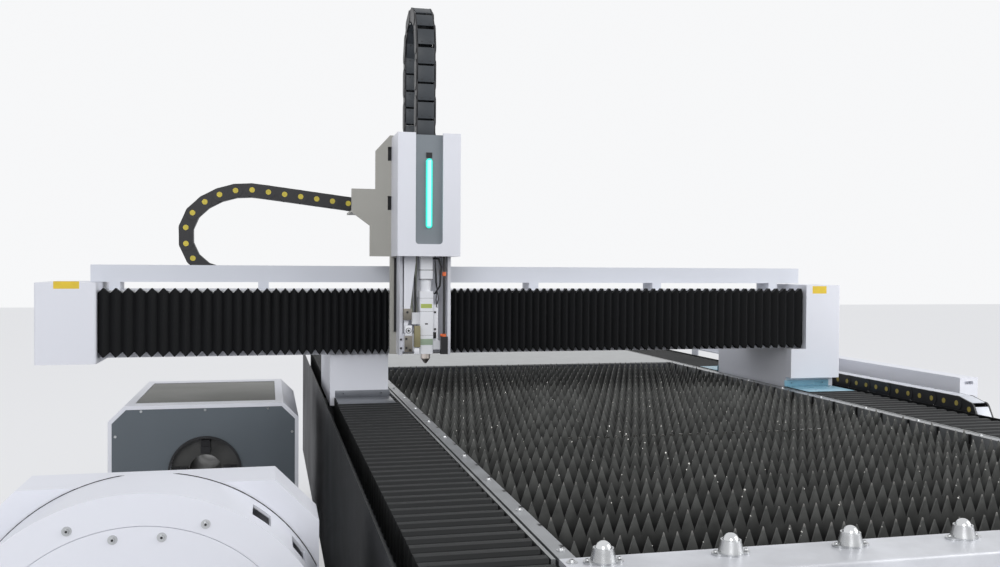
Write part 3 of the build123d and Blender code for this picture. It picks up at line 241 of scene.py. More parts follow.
coat(turned_grey, "near_chuck_rotor", "far_chuck_rotor")
coat(ball_steel, "transfer_balls")


# Combs: galvanised angles with slots. The inner flange is painted dark beside every slat, as
# painted shade of the slots, which the look takes from each point's distance to the row of
# slats and to the table's middle.
def mix_colour(tree, share, first, second):
    """A colour between two, each of them a socket or a fixed colour."""
    made = tree.nodes.new("ShaderNodeMix")
    made.data_type = "RGBA"
    tree.links.new(share, made.inputs["Factor"])
    for name, value in (("A", first), ("B", second)):
        if isinstance(value, tuple):
            made.inputs[name].default_value = value
        else:
            tree.links.new(value, made.inputs[name])
    return made.outputs["Result"]


slat_pitch = 150.0
slat_gauge = 4.0
slot_shaded_comb = finish("slot_shaded_comb", (0.36, 0.37, 0.38), 0.38, 160, 0.0001, 0.8, 14.0, 0.82)
tree = slot_shaded_comb.node_tree
comb_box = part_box("combs")
first_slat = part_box("slats")[0].y + slat_gauge / 2000
centred = tree.nodes.new("ShaderNodeMapping")
centred.inputs["Location"].default_value = (-table_middle, -first_slat, 0)
tree.links.new(tree.nodes["Texture Coordinate"].outputs["Object"], centred.inputs["Vector"])
axes = tree.nodes.new("ShaderNodeSeparateXYZ")
tree.links.new(centred.outputs["Vector"], axes.inputs[0])
away = compute(tree, "PINGPONG", axes.outputs["Y"], slat_pitch / 2000)
# Painted shade: the comb's inner flange grows dark near each slot.
slot_shade = ramp(tree, away, 0.005, 0.013, 0.9, 0.0)
half_width = (comb_box[1].x - comb_box[0].x) / 2
across = compute(tree, "ABSOLUTE", axes.outputs["X"], 0.0)
inside = ramp(tree, across, half_width - 0.022, half_width - 0.026)
slot_shade_mask = compute(tree, "MULTIPLY", slot_shade, inside)
slot_shaded_colour = mix_colour(tree, slot_shade_mask, tree.nodes["tint"].outputs["Color"], (0.02, 0.02, 0.02, 1))
tree.links.new(slot_shaded_colour, tree.nodes["Principled BSDF"].inputs["Base Color"])
coat(slot_shaded_comb, "combs")


# Comb bolts: zinc-plated socket screws with washers, which hold both combs down to the frame.
# They stand in one row on each side, about one bolt to every two slats.
def build(name, shape, body, slot, looks, *replaced):
    """Makes a bmesh, drawn in the machine's millimetres, a piece of the model on its body."""
    shape.transform(machine)
    mesh = bpy.data.meshes.new(name)
    shape.to_mesh(mesh)
    shape.free()
    for look in looks:
        mesh.materials.append(look)
    mesh.polygons.foreach_set("use_smooth", [True] * len(mesh.polygons))
    mesh.set_sharp_from_angle(angle=radians(32))
    piece = bpy.data.objects.new(name, mesh)
    bpy.context.scene.collection.objects.link(piece)
    if body:
        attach(piece, body)
    if replaced:
        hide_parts(*replaced)
    return piece


def paint(corners, material):
    """Gives a material to all faces that touch these corners."""
    for face in {face for corner in corners for face in corner.link_faces}:
        face.material_index = material


def rod(shape, centre, axis, radius, length, sides=20, tip=None, material=0):
    """A round bar, or a cone where its tip is given, laid along an axis about its centre."""
    turn = Vector(axis).to_track_quat("Z", "Y").to_matrix().to_4x4()
    made = bmesh.ops.create_cone(
        shape,
        cap_ends=True,
        segments=sides,
        radius1=radius,
        radius2=radius if tip is None else tip,
        depth=length,
        matrix=Matrix.Translation(centre) @ turn,
    )["verts"]
    paint(made, material)
    return made


def screw(shape, seat, axis, radius, washer=True):
    """A cap screw on its seat: washer, domed head and a dark socket, which is material 1."""
    seat, out = Vector(seat), Vector(axis).normalized()
    if washer:
        rod(shape, seat + out * 0.7, out, radius * 1.7, 1.4)
    rod(shape, seat + out * (1.4 + radius * 0.35), out, radius, radius * 0.7, tip=radius * 0.8)
    rod(shape, seat + out * (1.45 + radius * 0.7), out, radius * 0.5, 0.3, 6, material=1)


def ease(shape, rims, width):
    """Rounds edges in two steps."""
    bmesh.ops.bevel(
        shape, geom=rims, offset=width, segments=2, profile=0.5, affect="EDGES", material=-1
    )


def block(shape, x, y, z, material=0, edge=0.0):
    """A block between two values on each axis, with eased edges where that is asked."""
    size = Matrix.Diagonal((x[1] - x[0], y[1] - y[0], z[1] - z[0], 1))
    place = Matrix.Translation((sum(x) / 2, sum(y) / 2, sum(z) / 2))
    made = bmesh.ops.create_cube(shape, size=1, matrix=place @ size)["verts"]
    paint(made, material)
    if edge:
        rims = list({rim for corner in made for rim in corner.link_edges})
        ease(shape, rims, edge)


socket_black = finish("socket_black", (0.01, 0.01, 0.011), 0.6, 600, 0.0001)
comb_low, comb_high = span("combs")
bolt_count = 11
bolt_step = 298.5
bolt_x = comb_high.x - 18.0
first_bolt = comb_low.y + 48.0
bolts = bmesh.new()
for side in (-1, 1):
    for i in range(bolt_count):
        screw(bolts, (side * bolt_x, first_bolt + bolt_step * i, comb_high.z), (0, 0, 1), 5.0)
build("comb_bolts", bolts, "bed", "zinc", [zinc, socket_black])

# Comb joint: each comb is two lengths of galvanised angle, laid end to end on the frame.
# The joint shows as a thin dark line across the comb's top.
joint_y = 1700.0
comb_top_width = 31.0
joint = bmesh.new()
for side in (-1, 1):
    x = sorted((side * (comb_high.x - comb_top_width), side * comb_high.x))
    block(joint, x, (joint_y - 0.8, joint_y + 0.8), (comb_high.z - 0.2, comb_high.z + 0.2))
build("comb_joint", joint, "bed", "bed_paint", [socket_black])

# Near end plate: bent steel plate with a worn pale coat. Two zinc-plated socket screws hold it
# down at each end.
white_coat = finish("white_coat", (0.76, 0.77, 0.82), 0.36, 700, 0.0001, 0.0, 1.2, 0.965)
worn_plate = finish("worn_plate", (0.66, 0.67, 0.70), 0.40, 500, 0.0001, 0.35, 9.0, 0.80)
coat(worn_plate, "near_end_plate")
end_plate_high = span("near_end_plate")[1]
plate_bolts = bmesh.new()
for side in (-1, 1):
    for y in (32, 100):
        seat = (side * (end_plate_high.x - 16), y, end_plate_high.z)
        screw(plate_bolts, seat, (0, 0, 1), 6.0)
build("near_plate_bolts", plate_bolts, "bed", "zinc", [zinc, socket_black])

# Ball transfer screws: each cup of zinc-plated steel has two ears, and a small socket screw
# through each ear holds it down on the near end plate.
cup_low, cup_high = span("transfer_cups")
ball_low, ball_high = span("transfer_balls")
ball_count = 7
ball_radius = 15.0
ear_reach = 29.5
ball_step = (ball_high.x - ball_low.x - 2 * ball_radius) / (ball_count - 1)
ear_screws = bmesh.new()
for i in range(ball_count):
    for side in (-1, 1):
        x = ball_low.x + ball_radius + ball_step * i + side * ear_reach
        seat = (x, (cup_low.y + cup_high.y) / 2, cup_low.z + 4)
        screw(ear_screws, seat, (0, 0, 1), 4.0, washer=False)
build("ear_screws", ear_screws, "bed", "zinc", [zinc, socket_black])


# Toothed slats: cut from 4 mm plate, with teeth that carry the sheet. They are dark with mill
# scale and spatter, darker still towards the root as painted shade between the rows, their tips
# are worn bright, and each is a little bent. A cut across has blunted the tips of one slat, and a
# cut along the bed has left beads on the others.
def bead(shape, centre, radius):
    """A drop of metal that has melted on, in material 1."""
    place = Matrix.Translation(centre) @ Matrix.Scale(radius, 4)
    paint(bmesh.ops.create_icosphere(shape, subdivisions=1, radius=1, matrix=place)["verts"], 1)


slat_low, slat_high = span("slats")
slat_count = 22
teeth = 54
tooth_rise = 45.0
ear_rise = 29.0
ear_width = 11.0
body_half = slat_high.x - ear_width - 0.5
root = slat_high.z - tooth_rise
step = body_half / teeth
blunt_row = round((1200 - slat_low.y) / slat_pitch)
blunt_reach = (-480.0, 380.0)
tip_sway = 1.5
tip_loss = 7.0
cut_x = -290.0
cut_reach = (490.0, 1545.0)
beads_per_slat = 14
root_shade_band = (72.0, 18.0)
worn_band = (9.0, 1.0)
slat_look = finish("slat_steel", (0.140, 0.143, 0.136), 0.48, 260, 0.0003, 0.45, 26.0, 0.70)
tree = slat_look.node_tree
axes = tree.nodes.new("ShaderNodeSeparateXYZ")
tree.links.new(tree.nodes["Texture Coordinate"].outputs["Object"], axes.inputs[0])
height = axes.outputs["Z"]
# Painted shade: the slats grow dark from the band's upper edge down to the root.
unshaded_share = ramp(tree, height, *[(slat_high.z - down) / 1000 for down in root_shade_band])
worn = ramp(tree, height, *[(slat_high.z - down) / 1000 for down in worn_band])
root_shaded = mix_colour(tree, unshaded_share, (0.010, 0.010, 0.010, 1), tree.nodes["tint"].outputs["Color"])
bright = mix_colour(tree, worn, root_shaded, (0.34, 0.33, 0.31, 1))
tree.links.new(bright, tree.nodes["Principled BSDF"].inputs["Base Color"])
spatter_look = finish("spatter", (0.75, 0.74, 0.70), 0.22, 400, 0.0001, 1.0, 40.0, 0.7)

slats = bmesh.new()
for i in range(slat_count):
    y = slat_low.y + slat_pitch * i
    strip = bmesh.ops.create_grid(slats, x_segments=2 * teeth, y_segments=2, size=1)["verts"]
    for corner in strip:
        column = round((corner.co.x + 1) * teeth)
        row = round(corner.co.y + 1)
        tooth_tip = row == 2 and column % 2
        lift = (slat_low.z, root, slat_high.z if tooth_tip else root)[row]
        corner.co = ((column - teeth) * step, y, lift)
        if tooth_tip:
            bent = random.uniform(-tip_sway, tip_sway)
            leaning = random.uniform(-tip_sway, tip_sway)
            corner.co += Vector((bent, leaning, -random.random() ** 2 * tip_loss))
            if i == blunt_row and blunt_reach[0] < corner.co.x < blunt_reach[1]:
                corner.co.z = slat_high.z - tip_loss
bmesh.ops.remove_doubles(slats, verts=slats.verts, dist=0.05)
thick = bmesh.ops.extrude_face_region(slats, geom=slats.faces[:])["geom"]
thick = [part for part in thick if isinstance(part, bmesh.types.BMVert)]
bmesh.ops.translate(slats, vec=(0, slat_gauge, 0), verts=thick)
for i in range(slat_count):
    y = slat_low.y + slat_pitch * i
    for side in (-1, 1):
        x = sorted((side * body_half, side * (body_half + ear_width)))
        block(slats, x, (y, y + slat_gauge), (root - ear_rise, root))
bmesh.ops.recalc_face_normals(slats, faces=slats.faces)
for i in range(slat_count * beads_per_slat):
    row, tooth = random.randrange(slat_count), random.randrange(teeth)
    down = random.uniform(3, 24)
    x = (2 * tooth + 1 - teeth) * step + random.choice((-1, 1)) * down * step / tooth_rise
    y = slat_low.y + slat_pitch * row + random.uniform(-0.5, 4.5)
    bead(slats, (x, y, slat_high.z - 3 - down), random.uniform(0.9, 2.6))
melt_half, melt_bulge = 5.5, 0.4
y = slat_low.y + slat_pitch * blunt_row
melt_y = (y - melt_bulge, y + slat_gauge + melt_bulge)
melt_z = (slat_high.z - 12, slat_high.z - 6.5)
for tooth in range(teeth):
    x = (2 * tooth + 1 - teeth) * step
    if blunt_reach[0] < x < blunt_reach[1]:
        block(slats, (x - melt_half, x + melt_half), melt_y, melt_z, 1)
tip_x = (2 * round((cut_x / step + teeth - 1) / 2) + 1 - teeth) * step
for i in range(slat_count):
    y = slat_low.y + slat_pitch * i + slat_gauge / 2
    flank_x = tip_x + (6 if i % 2 else -6)
    if cut_reach[0] < y < cut_reach[1]:
        bead(slats, (flank_x, y, slat_high.z - 18), 2.4)
        bead(slats, (tip_x, y, slat_high.z - 3), 3.4)
build("toothed_slats", slats, "bed", "slat_steel", [slat_look, spatter_look], "slats")


# Guide covers: folded cloth, stiffened in each fold, over the rails at both sides of the bed.
# Each one runs from an end of the bed to the saddle, and every fold takes its share of travel.
def stretch(piece, fixed, moving, start, end):
    """Ties a folded cover between two bodies, so that all its folds open or close alike."""
    first, last = machine @ Vector(start), machine @ Vector(end)
    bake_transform(piece, fixed, moving, first, last)
    way = last - first
    share = piece.data.attributes["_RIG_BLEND"].data
    for corner, value in zip(piece.data.vertices, share):
        value.value = min(1.0, max(0.0, (corner.co - first).dot(way) / way.length_squared))


def pull(shape, rims):
    """Draws a row of edges out to a new row, and gives the new row's corners and edges."""
    made = bmesh.ops.extrude_edge_only(shape, edges=rims)["geom"]
    corners = [part for part in made if isinstance(part, bmesh.types.BMVert)]
    rims = [part for part in made if isinstance(part, bmesh.types.BMEdge)]
    return corners, [rim for rim in rims if rim.verts[0] in corners and rim.verts[1] in corners]


guide_cloth = finish("guide_cloth", (0.014, 0.015, 0.0155), 0.60, 1400, 0.0002, 0.0, 5.0, 0.6)
dull(guide_cloth, 0.25)
cloth_gauge = 1.2
fold_pitch = 56.0
fold_rise = 24.0
fold_side = 8.5
cover_width = 228.0
hem = 9.0
fold_shape = ((0.10, 0.78), (0.14, 0.22), (0.34, 0.0), (0.26, -0.16), (0.16, -0.84))
for node, way in (("y_bellows_front", 1), ("y_bellows_rear", -1)):
    low, high = span(node)
    inner, outer = high.x - cover_width, high.x
    folds = round((high.y - low.y) / fold_pitch)
    fold = (high.y - low.y) / folds
    cover = bmesh.new()
    crease = high.z - fold_rise
    inner_wall, outer_wall = inner + hem, outer - hem
    path = [(inner_wall, low.z), (inner_wall, crease), (outer_wall, crease), (outer_wall, low.z)]
    row = [cover.verts.new((x, low.y, z)) for x, z in path]
    rims = [cover.edges.new(pair) for pair in zip(row, row[1:])]
    middle = (inner + outer) / 2
    for i in range(folds):
        for part, lift in fold_shape:
            row, rims = pull(cover, rims)
            for corner in row:
                corner.co.y += part * fold
                corner.co.x += lift * fold_side * (1 if corner.co.x > middle else -1)
                if corner.co.z > low.z + 1:
                    corner.co.z += lift * fold_rise
    bmesh.ops.solidify(cover, geom=cover.faces[:], thickness=cloth_gauge)
    twin = bmesh.ops.duplicate(cover, geom=cover.verts[:] + cover.edges[:] + cover.faces[:])["geom"]
    twin = [part for part in twin if isinstance(part, bmesh.types.BMVert)]
    bmesh.ops.scale(cover, vec=(-1, 1, 1), verts=twin)
    bmesh.ops.recalc_face_normals(cover, faces=cover.faces)
    name = node.replace("y_bellows", "guide_cover")
    piece = build(name, cover, None, "black_fabric", [guide_cloth], node)
    still, moved = (low.y, high.y)[::way]
    stretch(piece, "bed", "gantry", (0, still, 0), (0, moved, 0))

# End sheets of the guide covers: thin bent sheet that lies on the first folds and is screwed to
# the saddle's face. The right one is pale blue.
saddle_low, saddle_high = span("saddle_left")
fold_high = span("y_bellows_front")[1]
sheet_pale_blue = finish("sheet_pale_blue", (0.25, 0.47, 0.58), 0.28, 600, 0.0001, 0.0, 8.0, 0.9)
sheet_grey = finish("sheet_grey", (0.17, 0.18, 0.20), 0.35, 600, 0.0001, 0.4, 8.0, 0.85)
sheet_gauge = 1.5
sheet_length = 200.0
sheet_height = 26.0
screw_height = 14.0
sheet_edges = (fold_high.x - 216, fold_high.x - 4)
floor_z = fold_high.z + 0.3
for side, name, look in (
    (-1, "cover_sheet_left", sheet_grey),
    (1, "cover_sheet_right", sheet_pale_blue),
):
    sheet = bmesh.new()
    x = sorted(side * edge for edge in sheet_edges)
    for face, out in ((saddle_low.y, -1), (saddle_high.y, 1)):
        lying = sorted((face, face + out * sheet_length))
        upright = sorted((face, face + out * sheet_gauge))
        block(sheet, x, lying, (floor_z, floor_z + sheet_gauge), 0, 0.5)
        block(sheet, x, upright, (floor_z, fold_high.z + sheet_height), 0, 0.5)
        for share in (0.15, 0.85):
            screw_x = x[0] + (x[1] - x[0]) * share
            seat = (screw_x, face + out * sheet_gauge, fold_high.z + screw_height)
            screw(sheet, seat, (0, out, 0), 4.0, washer=False)
    build(name, sheet, "gantry", "pale_grey_paint", [look, socket_black])

# Gantry: a welded box beam on two saddles, with bent sheet covers at its ends and the cable
# trough above it. All of it has a white powder coat, which is a little greyer on the trough.
coat(white_coat, "gantry_beam", "saddle_left", "saddle_right", "end_cover_left", "end_cover_right")
# The same pale grey also serves on the Y chain's lids as painted reflection of window light.
trough_coat_and_lid_reflection = finish("trough_coat_and_lid_reflection", (0.66, 0.68, 0.73), 0.38, 700, 0.0001, 0.0, 1.5, 0.95)
coat(trough_coat_and_lid_reflection, "cable_tray")

# Yellow fields: a plain patch of thin reflective foil, stuck on the front of each end cover
# near its top.
patch_yellow = finish("patch_yellow", (0.78, 0.55, 0.03), 0.45, 900, 0.0001, 0.0, 30.0, 0.92)
for side, x, z in (("left", (-2072, -1985), (1272, 1299)), ("right", (957, 1024), (1253, 1285))):
    face = span("end_cover_" + side)[0].y
    patch = bmesh.new()
    block(patch, x, (face - 0.2, face + 0.8), z)
    build("yellow_patch_" + side, patch, "gantry", "pale_grey_paint", [patch_yellow])

# Cross covers: folded cloth over the beam's guides at both sides of the carriage. The folds
# stand wide where the cover is drawn out and close where it is pushed together.
cross_cloth = finish("cross_cloth", (0.0065, 0.007, 0.008), 0.62, 1400, 0.0002, 0.0, 5.0, 0.7)
dull(cross_cloth, 0.18)
fold_depth = 20.0
crest_round = 1.6
for node, wide, tight, way in (
    ("x_bellows_left", 43.0, 25.0, 1),
    ("x_bellows_right", 27.0, 38.0, -1),
):
    low, high = span(node)
    length = high.x - low.x
    folds = round(2 * length / (wide + tight))
    widths = [wide + (tight - wide) * (i + 0.5) / folds for i in range(folds)]
    widths = [w * length / sum(widths) for w in widths]
    cover = bmesh.new()
    back, front = high.y, low.y + fold_depth
    lower, upper = low.z + fold_depth, high.z - fold_depth
    path = [(back, lower), (front, lower), (front, upper), (back, upper)]
    row = [cover.verts.new((low.x, y, z)) for y, z in path]
    rims = [cover.edges.new(pair) for pair in zip(row, row[1:])]
    beam_line = Matrix.Translation((0, -back, -(low.z + high.z) / 2))
    deepen = (back - low.y) / (back - front)
    heighten = (high.z - low.z) / (high.z - low.z - 2 * fold_depth)
    for i in range(2 * folds):
        row, rims = pull(cover, rims)
        bmesh.ops.translate(cover, vec=(widths[i // 2] / 2, 0, 0), verts=row)
        grow = (1, deepen, heighten) if i % 2 == 0 else (1, 1 / deepen, 1 / heighten)
        bmesh.ops.scale(cover, vec=grow, space=beam_line, verts=row)
    crests = [
        rim for rim in cover.edges
        if len(rim.link_faces) == 2 and abs(rim.verts[0].co.x - rim.verts[1].co.x) < 0.1
        and rim.calc_face_angle() > 0.3
    ]
    ease(cover, crests, crest_round)
    bmesh.ops.solidify(cover, geom=cover.faces[:], thickness=cloth_gauge)
    bmesh.ops.recalc_face_normals(cover, faces=cover.faces)
    name = node.replace("x_bellows", "cross_cover")
    piece = build(name, cover, None, "black_fabric", [cross_cloth], node)
    still, moved = (low.x, high.x)[::way]
    stretch(piece, "gantry", "carriage", (still, 0, 0), (moved, 0, 0))

# Carriage: a cut plate in beige-grey coat that slides on the beam. On it sit the U channel of
# the head slide and the hood of bent sheet, both in white powder coat.
plate_coat = finish("plate_coat", (0.40, 0.39, 0.35), 0.42, 800, 0.0001, 0.0, 3.0, 0.93)
panel_grey = finish("panel_grey", (0.20, 0.225, 0.245), 0.45, 800, 0.0001, 0.0, 3.0, 0.92)
coat(plate_coat, "carriage_plate")
coat(white_coat, "z_channel", "head_hood", "z_plate")
coat(panel_grey, "light_panel")

# Hand slots in the carriage plate: a black sheet behind each one is painted shade in the slot. A
# black strip in the gap between the plate and the channel's left edge is painted shade of that gap.
plate_top = span("carriage_plate")[1].z
hood_low, hood_high = span("head_hood")
channel_low, channel_high = span("z_channel")
slot_shade_black = finish("slot_shade_black", (0.016, 0.016, 0.017), 0.7, 900, 0.0001, 0.0, 8.0, 0.8)
slot_half = 34.0
slot_x = (hood_low.x - 38, hood_low.x + 10)
slot_y = (hood_high.y + 8.5, hood_high.y + 11.5)
strip_x = (channel_low.x - 9.5, channel_low.x - 0.5)
strip_y = (channel_high.y - 7, channel_high.y - 1)
shade_sheets = bmesh.new()
for drop in (71, 261):
    slot_z = plate_top - drop
    block(shade_sheets, slot_x, slot_y, (slot_z - slot_half, slot_z + slot_half), edge=1.0)
block(shade_sheets, strip_x, strip_y, (1107, 1392))
build("slot_shade_sheets", shade_sheets, "carriage", "black_plastic", [slot_shade_black])


# Light bar: a lit tube of milky plastic behind the hood's window, with a small dark sensor
# square above it.
def light_up(look, colour, strength):
    """Makes a look give light."""
    shade = look.node_tree.nodes["Principled BSDF"]
    shade.inputs["Emission Color"].default_value = (*colour, 1)
    shade.inputs["Emission Strength"].default_value = strength


bar_look = finish("light_bar", (0.04, 0.45, 0.38), 0.3, 300, 0.00005, 0.0, 5.0, 0.95)
light_up(bar_look, (0.02, 0.72, 0.58), 0.8)
coat(bar_look, "light_bar")
core_look = finish("light_core", (0.30, 0.60, 0.55), 0.3, 300, 0.00005, 0.0, 5.0, 0.97)
light_up(core_look, (0.30, 1.0, 0.86), 0.9)
bar_low, bar_high = span("light_bar")
bar_x = (bar_low.x + bar_high.x) / 2
bar_length = bar_high.z - bar_low.z
core = bmesh.new()
rod(core, (bar_x, bar_low.y, bar_low.z + bar_length / 2), (0, 0, 1), 7.0, bar_length - 14)
build("light_core", core, "carriage", "light", [core_look])
square = bmesh.new()
sensor_z = (bar_high.z + 2, bar_high.z + 22)
block(square, (bar_x - 11, bar_x + 11), (bar_high.y - 3, bar_high.y), sensor_z)
build("light_sensor", square, "carriage", "black_plastic", [socket_black])

# Cutting head: white anodised body on the head slide, with plain green and grey fields on its
# front, black seal rings and a dark sight slot. The nozzle below it is bright copper.
head_low, head_high = span("cutting_head")
nozzle_low, nozzle_high = span("nozzle")
head_x = (nozzle_low.x + nozzle_high.x) / 2
head_y = (head_low.y + head_high.y) / 2
head_white = finish("head_white", (0.80, 0.81, 0.84), 0.30, 600, 0.00005, 0.0, 4.0, 0.95)
field_green = finish("field_green", (0.42, 0.50, 0.12), 0.40, 600, 0.00005, 0.0, 20.0, 0.9)
field_grey = finish("field_grey", (0.33, 0.42, 0.31), 0.40, 600, 0.00005, 0.0, 20.0, 0.9)
copper = finish("copper", (0.78, 0.70, 0.64), 0.28, 500, 0.00005, 1.0, 20.0, 0.85)
hose_black = finish("hose_black", (0.016, 0.016, 0.018), 0.38, 900, 0.0001, 0.0, 6.0, 0.8)
coat(head_white, "cutting_head")
coat(copper, "nozzle")
coat(hose_black, "head_hoses")
details = bmesh.new()
ring_half, seam_half = 24.4, 26.2
ring_x = (head_x - ring_half, head_x + ring_half)
ring_y = (head_y - ring_half, head_y + ring_half)
for z in (1310.5, 1345.0):
    block(details, ring_x, ring_y, (z, z + 3), 1, 1.0)
skin = (head_low.y - 0.4, head_low.y + 1)
block(details, (head_x - 24, head_x + 24), skin, (1064, 1087), 3)
block(details, (head_x - 22, head_x + 20), skin, (1203, 1219), 2)
block(details, (head_x - 6, head_x + 5), skin, (1141, 1146), 1)
seam_x = (head_x - seam_half, head_x + seam_half)
seam_y = (head_low.y - 0.2, head_high.y + 0.2)
for z in (1100, 1190, 1240):
    block(details, seam_x, seam_y, (z, z + 0.8), 1)
head_looks = [head_white, socket_black, field_green, field_grey]
build("head_details", details, "head", "white_paint", head_looks)

# Brackets beside the head: a grey-brown plate and small boxes on the head slide's foot at the
# left, and a white plate at the right, all held by black socket screws.
bracket_look = finish("bracket_grey", (0.24, 0.22, 0.185), 0.45, 500, 0.0001, 0.2, 14.0, 0.75)
olive_cast = finish("olive_cast", (0.27, 0.24, 0.13), 0.50, 500, 0.0001, 0.1, 14.0, 0.80)
foot = span("z_plate")[0].y
brackets = bmesh.new()
for x, y, z, material, edge in (
    ((-86, -57), (foot - 6, foot + 1), (1040, 1100), 0, 1.0),
    ((-84, -58), (foot - 2, foot + 10), (1101, 1139), 2, 1.0),
    ((-87, -58), (foot + 12, foot + 48), (1159, 1201), 0, 1.0),
    ((-50, -27), (foot - 8, foot + 10), (1058, 1138), 3, 1.5),
    ((-52, -32), (foot - 16, foot - 8), (1033, 1055), 2, 1.5),
    ((27, 50), (head_y + 12, head_y + 25), (1045, 1215), 2, 1.0),
    ((31, 42), (head_y + 6, head_y + 12), (1086, 1110), 1, 1.0),
):
    block(brackets, (head_x + x[0], head_x + x[1]), y, z, material, edge)
rod(brackets, (head_x - 71, foot - 2.4, 1120), (0, 1, 0), 10.5, 1.0, 28, material=1)
rod(brackets, (head_x - 71, foot - 2.8, 1120), (0, 1, 0), 8.5, 1.4, 28, material=2)
for x, face, z in (
    (-80, foot - 6, 1090),
    (-80, foot - 6, 1056),
    (-66, foot - 6, 1048),
    (-71, foot - 3, 1120),
    (-74, foot + 12, 1188),
    (38, head_y + 12, 1186),
    (38, head_y + 12, 1121),
    (37, head_y + 12, 1054),
):
    rod(brackets, (head_x + x, face - 1, z), (0, 1, 0), 4.2, 4.0, 14, material=1)
bracket_looks = [bracket_look, socket_black, head_white, olive_cast]
build("head_brackets", brackets, "head", "plate_paint", bracket_looks)

# Slide guard: a cut sheet in white coat, which stands on the foot's top and covers the left
# guide of the head slide.
guard = bmesh.new()
left, low_right, right = channel_low.x + 13, head_x - 72, head_x - 41
path = ((left, 1110), (low_right, 1110), (right, 1376), (right, 1480), (left, 1480))
guard_face = guard.faces.new([guard.verts.new((x, foot + 28, z)) for x, z in path])
guard.normal_update()
bmesh.ops.solidify(guard, geom=[guard_face], thickness=sheet_gauge)
bmesh.ops.recalc_face_normals(guard, faces=guard.faces)
build("slide_guard", guard, "head", "white_paint", [white_coat])


# Tubes and cords of the head: two pale air tubes at the left, two thin cords at the right, and
# the orange-red collars of the gas hose. All of them come down from the slide's chain bracket.
def cord(shape, points, radius, material=0):
    """A tube through a row of points, with a ball in each bend."""
    for first, last in zip(points, points[1:]):
        run = Vector(last) - Vector(first)
        rod(shape, Vector(first) + run / 2, run, radius, run.length, 12, material=material)
    for point in points[1:-1]:
        place = Matrix.Translation(point)
        ball = bmesh.ops.create_uvsphere(
            shape, u_segments=12, v_segments=8, radius=radius, matrix=place
        )
        paint(ball["verts"], material)


pale_tube = finish("pale_tube", (0.36, 0.38, 0.31), 0.35, 600, 0.00005, 0.0, 12.0, 0.85)
fitting_orange = finish("fitting_orange", (0.80, 0.16, 0.04), 0.35, 500, 0.0001, 0.0, 20.0, 0.9)
hose_x, hose_y = head_x + 65, head_y - 34
lines = bmesh.new()
for radius, material, points in (
    (5.0, 0, ((-46, 17, 1490), (-53, 17, 1230), (-49, 10, 1180))),
    (5.0, 0, ((-33, 17, 1490), (-38, 17, 1240), (-34, 10, 1180))),
    (1.8, 1, ((30, 8, 1490), (45, 8, 1280), (41, 8, 1235), (46, 14, 1200))),
    (1.8, 1, ((36, 12, 1490), (40, 12, 1300), (52, 12, 1235), (40, 14, 1200))),
):
    cord(lines, [(head_x + x, head_y + y, z) for x, y, z in points], radius, material)
rod(lines, (hose_x, hose_y, 1332), (0, 0, 1), 7.5, 15.0, 20, material=2)
rod(lines, (hose_x, hose_y, 1101), (0, 0, 1), 8.5, 10.0, 20, material=2)
rod(lines, (hose_x - 8, hose_y, 1101), (1, 0, 0), 5.0, 12.0, 16, material=2)
build("head_lines", lines, "head", "black_plastic", [pale_tube, hose_black, fitting_orange])

# Channel bolts: two blackened socket screws near the foot of the channel's left flange. They
# hold the channel to the carriage.
channel_bolts = bmesh.new()
for z in (1050, 1083):
    screw(channel_bolts, (channel_low.x + 6, channel_low.y, z), (0, -1, 0), 4.2, washer=False)
build("channel_bolts", channel_bolts, "carriage", "black_plastic", [black_steel, socket_black])

# Drag chains: moulded nylon links, each with two side plates and two snap-on lids. The X and Y
# chains show a yellow pin at each joint; the Y chain's pins are a darker olive copy of that yellow,
# as painted shade, and its lids take the trough's pale grey as painted reflection of window light.
# The Z chain has slate lids with two rivets. A chain rolls over between two bodies, so its nose
# makes half the travel.
link_black = finish("link_black", (0.013, 0.013, 0.015), 0.46, 500, 0.0001, 0.0, 20.0, 0.8)
lid_slate = finish("lid_slate", (0.030, 0.036, 0.043), 0.50, 500, 0.0001, 0.0, 9.0, 0.86)
pin_yellow = finish("pin_yellow", (0.62, 0.50, 0.05), 0.42, 600, 0.0001, 0.0, 40.0, 0.85)
# A darker olive copy of the yellow pins, as painted shade on the Y chain's pins.
pin_yellow_shaded = finish("pin_yellow_shaded", (0.40, 0.32, 0.07), 0.45, 600, 0.0001, 0.0, 40.0, 0.85)


def pin_places(start, heading, route, pitch):
    """Pins one pitch apart along straights (length, 0) and arcs (radius, turn in degrees)."""
    stride = 0.5
    places, here, ahead, done = [], Vector(start), radians(heading), 0.0
    for size, turn in route:
        length = size if turn == 0 else size * radians(abs(turn))
        strides = round(length / stride)
        for _ in range(strides):
            if done >= pitch * len(places):
                places.append(here.copy())
            here += Vector((cos(ahead), sin(ahead))) * length / strides
            ahead += radians(turn) / strides
            done += length / strides
    return places


def link_mesh(pitch, height, width, inset, pin_radius, lid_gap):
    """One link about the middle of its pitch: side plates, rims, lids, and pins or rivets."""
    link = bmesh.new()
    for side in (-1, 1):
        plate = rod(link, (0, side * (width / 2 - inset - 3), 0), (0, 1, 0), height / 2 - 0.4, 5, 18)
        for corner in plate:
            corner.co.x += pitch / 2 if corner.co.x > 0 else -pitch / 2
        if pin_radius:
            pin_y = side * (width / 2 - 0.6)
            rod(link, (-pitch / 2, pin_y, 0), (0, 1, 0), pin_radius, 1.2, 16, material=2)
        half = (pitch - lid_gap) / 2
        lid_z = sorted((side * (height / 2 - 4), side * (height / 2 - 0.2)))
        block(link, (-half, half), (8 - width / 2, width / 2 - 8), lid_z, 1, 1.2)
        if not pin_radius:
            for y in (-0.2 * width, 0.2 * width):
                rod(link, (9 - half, y, side * height / 2), (0, 0, 1), 2.6, 0.8, 10)
    mesh = bpy.data.meshes.new("link")
    link.to_mesh(mesh)
    link.free()
    return mesh


